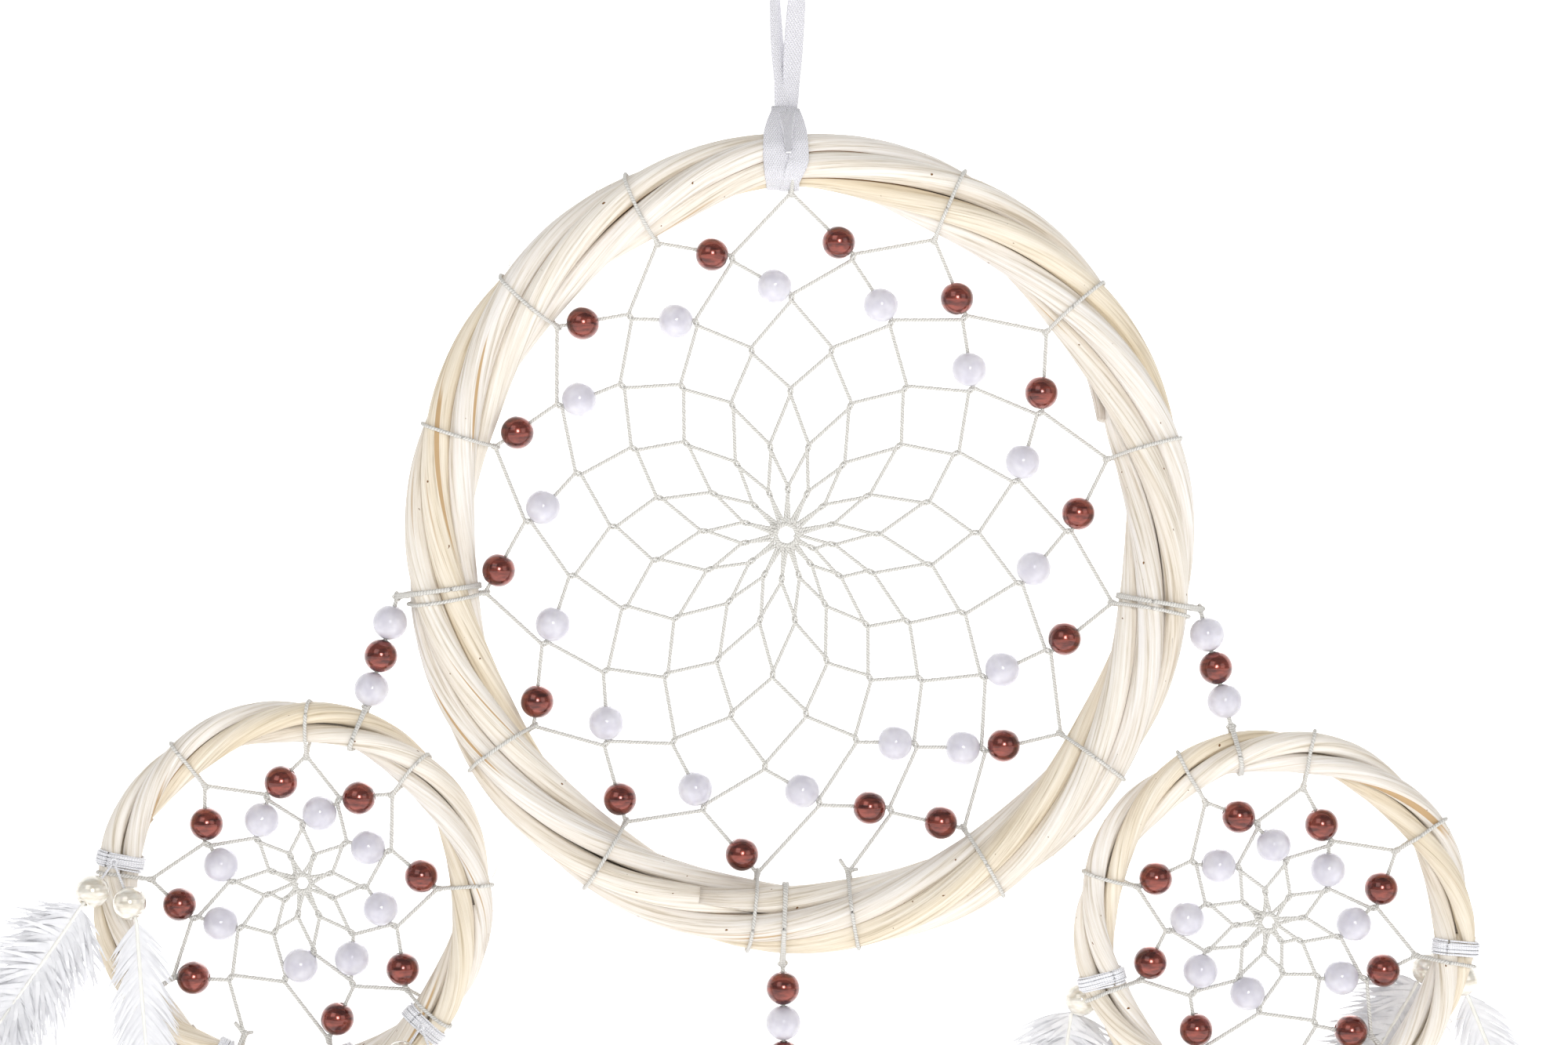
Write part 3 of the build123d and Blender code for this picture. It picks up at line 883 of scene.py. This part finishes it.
class Web:
    """The knots of a web, in the order that they are tied.

    Each anchor's knot hangs a stem below its lashing. pulls says, for each round, how far a
    stretch's middle is pulled to the centre, and ring is the radius that the web ends on.
    """

    def __init__(self, hoop, shift, anchors, stem, pulls, ring):
        self.hoop = hoop
        self.anchors = anchors
        self.stem = stem
        self.centre = hoop.centre + np.array([shift[0], 0, shift[1]])
        self.ring = ring
        self.size = len(anchors)
        knots = [
            hoop.middle(angle) - outward(angle) * (hoop.lashed + stem - hoop.squeeze(angle))
            for angle in anchors
        ]
        for pull in pulls:
            for _ in anchors:
                middle = (knots[-self.size] + knots[1 - self.size]) / 2
                knots.append(middle + (self.centre - middle) * pull)
        self.hitches = len(knots)
        for _ in anchors:
            middle = (knots[-self.size] + knots[1 - self.size]) / 2
            knots.append(self.centre + unit(middle - self.centre) * ring)
        self.knots = np.array(knots)
        new = np.arange(self.size, len(knots))
        self.starts = self.knots[np.concatenate([new - self.size, new])]
        self.ends = self.knots[np.concatenate([new, new - self.size + 1])]

    def apart(self, places, skip):
        """How far each place is from the nearest stretch of cord but one."""
        keep = np.arange(len(self.starts)) != skip
        start, span = self.starts[keep], (self.ends - self.starts)[keep]
        share = np.einsum("psk,sk->ps", places[:, None] - start, span) / np.sum(span**2, 1)
        nearest = start + span * np.clip(share, 0, 1)[..., None]
        return np.linalg.norm(places[:, None] - nearest, axis=-1).min(axis=1)

    def bead(self, first):
        """A bead's place and the direction of its cord.

        It slides down from the hitch or up from it to where it is clear of hoop and cords.
        """
        ends = self.knots[[first + self.size, first + 1]]
        low, high = ends[np.argsort(ends[:, 2])]
        span = high - low
        way = unit(span)
        hoop = self.hoop
        lift = low - hoop.centre
        swell = 2 * hoop.oval * (lift[2] / np.linalg.norm(lift)) ** 2
        room = hoop.radius - hoop.oval - hoop.reach - FREE - 2 * CORD_RADIUS + swell
        room -= BEAD_RADIUS + 0.1
        count = int(max(np.linalg.norm(span) - 2 * BEAD_REST, 0) / BEAD_STEP) + 1
        play = np.array([-way[2], 0, way[0]]) * (BORE_RADIUS - CORD_RADIUS - 0.1)
        along = low + way * (BEAD_REST + BEAD_STEP * np.arange(count))[:, None]
        places = np.vstack([along, along + play, along - play])
        skip = len(self.starts) // 2 + first
        out = np.linalg.norm(places - hoop.centre, axis=1)
        clear = self.apart(places, skip) - BEAD_RADIUS - CORD_RADIUS - 0.05
        spare = np.minimum(clear, room - out)
        best = np.argmax(spare > 0) if np.any(spare > 0) else np.argmax(spare)
        return places[best], way


MAIN_ANCHORS = (
    278.4, 299.9, 323.8, 349.1, 375.2, 400.5, 426, 451.4, 475.4, 498.3, 522.5, 549, 574.6, 598.1, 622.7,
)
LEFT_ANCHORS = (-110, -147, -188, -232, -275, -313.1, -355.7, -398.5, -436)
RIGHT_ANCHORS = (-85, -48, -10.8, 32.7, 78.5, 118.7, 163, 201, 238)
BOTTOM_ANCHORS = (265, 228, 190.8, 147.3, 101.5, 61.3, 17, -21, -58)
MAIN_RULE = 0.2, (0.128, 0.143, 0.18, 0.22, 0.36, 0.48), 2.6
SMALL_RULE = 1.8, (0.235, 0.31, 0.47), 2.0
MAIN_WEB = Web(MAIN, (-3.2, 1.9), MAIN_ANCHORS, *MAIN_RULE)
SMALL_WEBS = [
    Web(LEFT, (2.1, 4.0), LEFT_ANCHORS, *SMALL_RULE),
    Web(RIGHT, (-1.5, 1.5), RIGHT_ANCHORS, *SMALL_RULE),
    Web(BOTTOM, (1.5, 1.5), BOTTOM_ANCHORS, *SMALL_RULE),
]
low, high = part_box("main_brown_beads")
places = np.array([MAIN_WEB.bead(first)[0] for first in range(MAIN_WEB.size)])
print("brown beads by rule", places.min(0) - BEAD_RADIUS, places.max(0) + BEAD_RADIUS)
print("brown beads in the model", np.array(low) / MM, np.array(high) / MM)

# %% [markdown]
# A half hitch is a small eye of cord round the stretch above it. Here it is a closed loop, longer
# towards the centre than across, that dips behind the cord it holds. The stretches go from eye
# to eye: they meet the upper end of one and leave the lower end of another.

# %% Cord, hitches and lashings
HITCH_LONG = 0.95
HITCH_WIDE = 0.42
YARN = 0.45
RING_YARN = 0.6


def hitch(knot, inward):
    """An eye: inward × long cos, across × wide sin, and depth × 0.35 sin of twice the angle."""
    turn = np.linspace(0, 2 * np.pi, 18, endpoint=False)[:, None]
    across = np.cross(inward, DEPTH)
    path = knot + inward * HITCH_LONG * np.cos(turn) + across * HITCH_WIDE * np.sin(turn)
    path = path + DEPTH * 0.35 * np.sin(2 * turn)
    return carry(path, circle(YARN * 0.9, 6), DEPTH, closed=True)


def stretches(web):
    """Twisted cord along every stretch, from one eye's end to the next one's."""
    size = web.size
    inward = unit(web.centre - web.knots)
    patches = []
    for new in range(size, len(web.knots)):
        down = inward[new] * (HITCH_LONG * 0.75) * (new < web.hitches)
        for old in (new - size, new - size + 1):
            lift = inward[old] * (HITCH_LONG * 0.75) * (old >= size)
            path = between(web.knots[old] + lift, web.knots[new] - down, web_step(web))
            patches.append(cord_along(path, YARN))
    return join(patches)


def web_step(web):
    """The large web has more cord, so its rings are a little further apart."""
    return 0.42 if web is MAIN_WEB else 0.36


def wound(hoop, angle, knot):
    """Cord's tight outline round the bundle and a knot so far out, and each point's direction."""
    outline = tight(bundle(hoop, angle, [(knot, 0.0, 0.0)]), YARN + 0.05, 110)
    return outline, np.arctan2(outline[:, 1], outline[:, 0])


def lashing(hoop, angle, knot_inset, slant):
    """Cord round the bundle and down to the knot that holds it."""
    outline, turn = wound(hoop, angle, hoop.squeeze(angle) - knot_inset)
    path = round_bundle(hoop, angle, outline, slant * np.sin(turn))
    return cord_along(path, YARN, outward(angle), True)


def cut_tail(root, way, length, seed):
    """A cut end of cord that curls a little."""
    random = np.random.default_rng(seed)
    curl = random.uniform(-0.3, 0.3, 3) * length
    curl[1] = -abs(curl[1])
    share = np.linspace(0, 1, 14)[:, None]
    path = root + way * length * share + curl * share**2
    return cord_along(path, YARN)


def web_pieces(web, name, node, strings):
    """The web's cord, its hitches and its lashings, as three pieces."""
    hoop = web.hoop
    random = np.random.default_rng(len(name) + web.size)
    piece(name + "_cord", stretches(web), CORD, hoop.body, [node])
    inward = unit(web.centre - web.knots)
    eyes = [hitch(web.knots[n], inward[n]) for n in range(web.hitches)]
    turn = np.linspace(0, 2 * np.pi, 40, endpoint=False)[:, None]
    ring = np.cos(turn) * [1, 0, 0] + np.sin(turn) * [0, 0, 1]
    eyes.append(cord_along(web.centre + web.ring * ring, RING_YARN, DEPTH, True))
    # the knot that the cord ends in, on the ring's upper left
    end = web.centre + np.array([-web.ring - 0.4, -0.4, web.ring * 0.6])
    eyes.append(hitch(end, unit(np.array([1.0, 0.2, -0.4]))))
    eyes.append(hitch(end + 0.5, unit(np.array([0.4, -0.2, 1.0]))))
    piece(name + "_hitches", join(eyes), CORD, hoop.body, [node])
    rounds = [
        lashing(hoop, angle, hoop.lashed + web.stem, random.uniform(0.25, 0.9) * random.choice([-1, 1]))
        for angle in web.anchors
    ]
    rounds += [string_lashing(*string) for string in strings]
    start = web.knots[0]
    rounds.append(hitch(start + inward[0] * -1.2, inward[0]))
    rounds.append(cut_tail(start, unit(np.array([0.7, -0.3, 0.5])), 2.6, 1))
    rounds.append(cut_tail(start, unit(np.array([-0.5, -0.3, 0.8])), 3.2, 2))
    piece(name + "_lashings", join(rounds), CORD, hoop.body, [node])


def string_lashing(hoop, knot):
    """The two turns of cord that a string hangs from, or ends on, with their knot."""
    away = knot - hoop.centre
    angle = np.degrees(np.arctan2(away[2], away[0]))
    outline, turn = wound(hoop, angle, np.linalg.norm(knot - hoop.middle(angle)))
    loops = []
    for sway in (0.55, -0.45):
        path = round_bundle(hoop, angle, outline, sway * (0.6 + 0.4 * np.sin(turn)))
        loops.append(cord_along(path, YARN, outward(angle), True))
    loops.append(hitch(knot, unit(np.array([0.2, 0.1, -1.0]))))
    loops.append(hitch(knot, unit(np.array([1.0, 0.2, 0.1]))))
    return join(loops)


main_strings = [(MAIN, place_of(hoop.name + "_string_swing")) for hoop in SMALL]
web_pieces(MAIN_WEB, "web", "main_web", main_strings)
for web in SMALL_WEBS:
    hoop = web.hoop
    strings = [(hoop, place_of(hoop.body + "_turn"))]
    web_pieces(web, hoop.name + "_web", hoop.body + "_web", strings)

# %% [markdown]
# ## Beads
# A bead is a profile turned round its cord: a ball, a slightly flat rim where the drill broke
# through, and the bore. The profile closes on itself, so the bead is a shell with no open edge.

# %% Bead
# real beads are a little uneven: the milky ones are the larger
BROWN_RADIUS = 4.08
MILKY_RADIUS = 4.22
BEAD_SIDES = 28
# how wide and how deep the edge of the bore is broken
RIM_WIDE = 0.18
RIM_DEEP = 0.16


def bead(centre, way, radius=BEAD_RADIUS):
    """Points at centre + way × height + distance × (side cos turn + top sin turn)."""
    edge = np.arcsin((BORE_RADIUS + RIM_WIDE) / radius)
    arc = np.linspace(edge, np.pi - edge, 17)
    mouth = RIM_DEEP - radius * np.cos(edge)
    bore = np.array([mouth, -0.6 * radius, 0.0, 0.6 * radius, -mouth])
    profile = np.vstack([
        np.stack([radius * np.sin(arc), radius * np.cos(arc)], -1),
        np.stack([np.full(len(bore), BORE_RADIUS), bore], -1),
    ])
    way = unit(np.asarray(way, float))
    other = np.array([1.0, 0, 0]) if abs(way[0]) < 0.7 else np.array([0, 0, 1.0])
    side = unit(np.cross(other, way))
    top = np.cross(way, side)
    turn = np.linspace(0, 2 * np.pi, BEAD_SIDES, endpoint=False)[:, None, None]
    ring = np.cos(turn) * side + np.sin(turn) * top
    points = centre + profile[None, :, 1:] * way + profile[None, :, :1] * ring
    rim_length = lengths_along(np.vstack([profile, profile[:1]]))
    return grid(points, rim_length, np.arange(BEAD_SIDES + 1) * radius * 0.22, False)


# each kind's radius, finish and slot
BROWN_KIND = BROWN_RADIUS, BROWN, "brown_bead"
MILKY_KIND = MILKY_RADIUS, MILKY, "clear_bead"


def beads_on(web, first, kind, name, node):
    """The beads of one round of a web, which begins at its stretch called first."""
    radius, finish, slot = kind
    count = web.size if web is MAIN_WEB else web.size - 1
    made = join([bead(*web.bead(first + place), radius) for place in range(count)])
    piece(name, made, finish, web.hoop.body, [node])


beads_on(MAIN_WEB, 0, BROWN_KIND, "brown_beads", "main_brown_beads")
beads_on(MAIN_WEB, MAIN_WEB.size, MILKY_KIND, "milky_beads", "main_clear_beads")
for web in SMALL_WEBS:
    name, body = web.hoop.name, web.hoop.body
    beads_on(web, 0, BROWN_KIND, name + "_brown_beads", body + "_brown_beads")
    beads_on(web, web.size, MILKY_KIND, name + "_milky_beads", body + "_clear_beads")

# %% Beads of the strings
for hoop in SMALL:
    way = joints[hoop.body + "_turn"]["axis"]
    for number in (1, 2, 3):
        body = f"{hoop.name}_string_bead_{number}"
        brown = (number == 2) != (hoop is BOTTOM)
        radius, finish, slot = BROWN_KIND if brown else MILKY_KIND
        shell = bead(place_of(body + "_spin"), way, radius)
        piece(f"{body}_shell", shell, finish, body, [body])

# %% [markdown]
# ## Feather ties
# White floss is wound many times round the hoop, knotted, and let down through two pearls to two
# feathers. The winding is one long helix on the tight outline of the canes, in two layers.

# %% Windings
WRAP_WIDTH = 3.6
WRAP_THICK = 0.85
FLOSS_RADIUS = 0.27
# the pearls hang aside of the knot and below it, one a little before the other
PEARL_PLACES = ((-4.2, -6.6), (4.4, -9.6))
PEARL_SPLIT = 0.95
# the quill bends this far below its pearl, and the knot stands this far off the winding
ELBOW = 0.9
KNOT_OFF = 0.6


def winding(hoop, angle, knot, seed):
    """Floss wound side by side over the canes, then back over itself, and its knot."""
    random = np.random.default_rng(seed)
    layers = []
    for layer, turns in ((0, 8), (1, 6)):
        outline = tight(bundle(hoop, angle), FLOSS_RADIUS * (1 + 1.7 * layer) + 0.02, 56)
        share = np.linspace(0, 1, turns * len(outline))
        width = WRAP_WIDTH * (0.98 - 0.2 * layer)
        drift = (share - 0.5) * width * (1 - 2 * layer)
        drift += 0.12 * np.sin(share * 17 + random.uniform(0, 6))
        path = round_bundle(hoop, angle, np.tile(outline, (turns, 1)), drift)
        layers.append(carry(path, circle(FLOSS_RADIUS, 6), outward(angle)))
    for way in random.normal(size=(3, 3)):
        turn = np.linspace(0, 2 * np.pi, 20, endpoint=False)[:, None]
        flat = unit(np.cross(way, DEPTH))
        path = knot + 0.7 * (unit(way) * np.cos(turn) + flat * np.sin(turn))
        layers.append(carry(path, circle(0.33, 6), np.cross(unit(way), flat), True))
    return join(layers)


# %% [markdown]
# A feather is a quill with barbs. Each barb is a thin tapered strip that leaves the quill at a
# slant and curves towards the tip. In a smooth feather they lie side by side in one plane, and
# make a vane. In down they are limp and stand out all round. All barbs are worked out at once,
# as an array of barb × place along it × corner of its section.

# %% Feather
DOWNY_BARBS = 1100
VANE_BARBS = 640
BARBS_A_LOCK = 8
HAIRS = 0.2
BARB_STEPS = 5


def feather(root, elbow, lean, length, fluffy, seed):
    """The quill and the barbs of a feather that hangs from its elbow, leaning to one side.

    The quill is at elbow + down × length × t + across × bend × t², for t from 0 to 1. A barb of
    length L is at its root + L × (slant out × q + down × (q cos slant + curl q²)).
    """
    random = np.random.default_rng(seed)
    lean = np.radians(lean)
    down = np.array([np.sin(lean), 0, -np.cos(lean)])
    across = np.array([np.cos(lean), 0, np.sin(lean)])
    bend = random.uniform(0.5, 1.0) * 4.0 * np.sign(np.sin(lean) + 1e-3)

    def quill(t):
        t = np.asarray(t)[..., None]
        return elbow + down * length * t + across * bend * t**2 - DEPTH * 0.4 * np.sin(np.pi * t)

    t = np.linspace(0, 0.93, 40)
    path = np.vstack([between(root, elbow, 1.2)[:-1], quill(t)])
    thin = np.interp(lengths_along(path), [0, 12, length], [0.42, 0.5, 0.12])
    shaft = carry(path, circle(1.0, 8) * thin[:, None, None], across)

    count = DOWNY_BARBS if fluffy else VANE_BARBS
    place = np.sort(random.uniform(0.0, 1.0, count)) ** (1.1 if fluffy else 1.0)
    hand = np.where(np.arange(count) % 2, 1.0, -1.0)
    # barbs cling together in locks, so neighbours share part of their lean
    lock = random.normal(0, 1, (count // BARBS_A_LOCK + 2, 4))
    lock = np.repeat(lock, BARBS_A_LOCK, axis=0)[:count]
    if fluffy:
        wide = 14.5 * np.sin(np.pi * np.clip(place * 0.72 + 0.26, 0, 1)) ** 0.6
        wide *= random.uniform(0.55, 1.1, count) * (1 + 0.1 * lock[:, 0])
        slant = np.interp(place, [0, 0.3, 1], [78, 56, 24]) + 9 * lock[:, 1]
        slant += random.normal(0, 9, count)
        deep = np.clip(0.2 * lock[:, 2] + random.normal(0, 0.15, count), -0.42, 0.42)
        curl = np.clip(0.25 + 0.12 * lock[:, 3] + random.normal(0, 0.06, count), 0, 0.6)
        thick, broad = 0.06, 1.3
    else:
        wide = 12.0 * np.sin(np.pi * np.clip(place * 0.78 + 0.2, 0, 1)) ** 0.6
        wide *= (1 - 0.1 * (lock[:, 0] > 1.1)) * random.uniform(0.84, 1.08, count)
        slant = np.interp(place, [0, 1], [50, 20]) + 2 * lock[:, 1]
        slant += random.normal(0, 2, count)
        deep = 0.04 * lock[:, 2] + random.normal(0, 0.03, count)
        curl = random.uniform(0.2, 0.3, count)
        thick, broad = 0.05, 1.0
    slant = np.radians(slant)
    # one barb in five is only a hair, and reaches further out
    hair = random.uniform(0, 1, count) < HAIRS
    wide *= 1 + 0.15 * hair
    broad = np.where(hair, 0.22, broad)[:, None, None, None]
    q = np.linspace(0, 1, BARB_STEPS)[None, :, None]
    out = (hand * np.sin(slant))[:, None, None] * across
    go = np.cos(slant)[:, None, None] * down
    droop = curl[:, None, None] * down * q**2
    wave = 0.10 * np.sin(q * 5 + random.uniform(0, 6, count)[:, None, None]) * fluffy
    lift = DEPTH * (deep[:, None, None] * q + wave * q)
    barb = quill(place * 0.97)[:, None] + wide[:, None, None] * (q * (out + go) + droop + lift)
    tangent = unit(np.gradient(barb, axis=1))
    flat = unit(np.cross(DEPTH, tangent))
    rise = np.cross(tangent, flat)
    taper = (1 - 0.9 * q[..., None] ** 1.6) * 0.5
    section = np.array([[1.0, 0], [0, 1], [-1, 0], [0, -1]])
    offsets = section[:, :1] * broad * flat[:, :, None] + section[:, 1:] * thick * rise[:, :, None]
    points = barb[:, :, None] + taper * offsets
    return shaft, barbs_mesh(points, wide)


def barbs_mesh(points, wide):
    """Triangles for an array of barb × place × 4 corners, each barb closed at both ends."""
    count, steps = points.shape[:2]
    i, k = np.meshgrid(np.arange(steps - 1), np.arange(4), indexing="ij")
    quad = np.stack([i * 4 + k, i * 4 + (k + 1) % 4, (i + 1) * 4 + (k + 1) % 4, (i + 1) * 4 + k], -1)
    quad = quad.reshape(-1, 4)
    last = (steps - 1) * 4
    ends = np.array([[0, 2, 1], [0, 3, 2], [last, last + 1, last + 2], [last, last + 2, last + 3]])
    one = np.vstack([quad[:, [0, 1, 2]], quad[:, [0, 2, 3]], ends])
    faces = (one[None] + (np.arange(count) * steps * 4)[:, None, None]).reshape(-1, 3)
    along = np.repeat(np.linspace(0, 1, steps), 4)[one]
    # in the mm map the barbs lie side by side, each 0.4 wide
    beside = np.broadcast_to(np.arange(count)[:, None, None], (count, *one.shape)) * 0.4
    mm = np.stack([beside, along[None] * wide[:, None, None]], -1)
    return points.reshape(-1, 3), faces, mm.reshape(-1, 2)


# %% Ties
# how far each feather leans to the right, in degrees, its length, and which of the two is downy
TIES = {
    LEFT: [((-34, 4), (84, 92)), ((-24, 2), (86, 92)), ((-2, 24), (92, 84)), ((-20, 12), (80, 88))],
    RIGHT: [((-8, 6), (84, 90)), ((-14, -2), (86, 92)), ((2, 24), (92, 84)), ((-30, 22), (82, 90))],
    BOTTOM: [((2, 20), (84, 80)), ((-13, 13), (90, 94)), ((-20, -2), (80, 84))],
}
seed = 100
for hoop, ties in TIES.items():
    windings = []
    for number, (leans, lengths) in enumerate(ties, 1):
        body = f"{hoop.name}_tie_{number}"
        knot = place_of(body + "_swing")
        side = np.sign(np.round(knot[1], 3))
        away = knot - hoop.centre
        angle = np.degrees(np.arctan2(away[2], away[0]))
        windings.append(winding(hoop, angle, knot, seed))
        shells, shafts, barbs, threads = [], [], [], []
        for which, (aside, drop) in enumerate(PEARL_PLACES):
            split = PEARL_SPLIT * (2 * which - 1)
            depth = side * (BEAD_RADIUS + ELBOW - KNOT_OFF - WRAP_THICK + PEARL_SPLIT) + split
            pearl = knot + np.array([aside, depth, drop])
            way = unit(pearl - knot)
            elbow = pearl + way * (BEAD_RADIUS + ELBOW)
            shells.append(bead(pearl, way))
            root = pearl + way * 2.0
            seed += 1
            shaft, vane = feather(root, elbow, leans[which], lengths[which], which == 0, seed)
            shafts.append(shaft)
            barbs.append(vane)
            thread = between(knot + way * 0.6, pearl + way * 2.4, 0.8)
            threads.append(carry(thread, circle(0.32, 6), DEPTH))
        feathers = [body + "_feathers"]
        piece(body + "_pearl_shells", join(shells), PEARL, body, [body + "_pearls"])
        piece(body + "_quills", join(shafts), HORN, body, feathers)
        piece(body + "_down", join(barbs), DOWN, body, feathers, smooth=False)
        piece(body + "_floss", join(threads), FLOSS, body)
    piece(hoop.name + "_windings", join(windings), FLOSS, hoop.body, [hoop.body + "_tie_wraps"])

# %% [markdown]
# ## Studio
# The background is a pale sweep: a floor that curves up into a wall, far enough off that no
# shadow falls on it. Of two large soft lamps in front, the key is at the upper left and the fill
# at the right. A small one straight in front makes the sparkle on the beads, and one behind
# brightens the edges. The world adds even white light from all round.

# %% Sweep, lamps and world
FLOOR = -1200.0
FLOOR_FRONT = -14000
WALL = 3400.0
WALL_TOP = 12000
BEND = 800
SWEEP_WIDTH = 40000.0


def sweep_profile():
    """Floor, quarter round and wall, as distance back and height."""
    turn = np.linspace(0, np.pi / 2, 16)
    bend = np.stack([WALL - BEND + BEND * np.sin(turn), FLOOR + BEND - BEND * np.cos(turn)], -1)
    return np.vstack([[FLOOR_FRONT, FLOOR], bend, [WALL, WALL_TOP]])


profile = sweep_profile()
wide = np.array([-SWEEP_WIDTH / 2, SWEEP_WIDTH / 2])
points = np.stack([
    np.repeat(wide, len(profile)),
    np.tile(profile[:, 0], 2),
    np.tile(profile[:, 1], 2),
], -1)
row = np.arange(len(profile) - 1)
quads = np.stack([row, row + len(profile), row + len(profile) + 1, row + 1], -1)
sweep_mesh = bpy.data.meshes.new("sweep")
sweep_mesh.from_pydata((points * MM).tolist(), [], quads.tolist())
paper = {"Base_Color": linear("#F4F4F4"), "Emission_Color": linear("#FFFFFF")}
backdrop, *_ = new_finish("studio_paper", Roughness=0.9, Emission_Strength=0.75, **paper)
sweep_mesh.materials.append(backdrop)
sweep = bpy.data.objects.new("sweep", sweep_mesh)
bpy.context.scene.collection.objects.link(sweep)


def lamp(name, place, aim, size, power):
    """A square soft lamp at a place, turned to its aim, in metres and watts."""
    data = bpy.data.lights.new(name, "AREA")
    data.size = size
    data.energy = power
    made = bpy.data.objects.new(name, data)
    bpy.context.scene.collection.objects.link(made)
    place, aim = np.array(place), np.array(aim)
    made.location = place
    back = unit(place - aim)
    made.rotation_euler = (np.arccos(back[2]), 0, np.arctan2(back[1], back[0]) + np.pi / 2)


AIM = (0, 0, -0.2)
lamp("key", (-1.0, -1.7, 1.0), AIM, 1.2, 5.8)
lamp("fill", (1.4, -1.4, 0.3), AIM, 1.0, 3)
lamp("front", (0.12, -1.3, 0.08), AIM, 0.34, 5)
lamp("back", (0.3, 1.6, 0.9), AIM, 1.0, 5)
world = bpy.data.worlds.new("studio")
bpy.context.scene.world = world
world.use_nodes = True
world.node_tree.nodes["Background"].inputs["Color"].default_value = (1, 1, 1, 1)
world.node_tree.nodes["Background"].inputs["Strength"].default_value = 0.37
bpy.context.scene.view_settings.view_transform = "Standard"
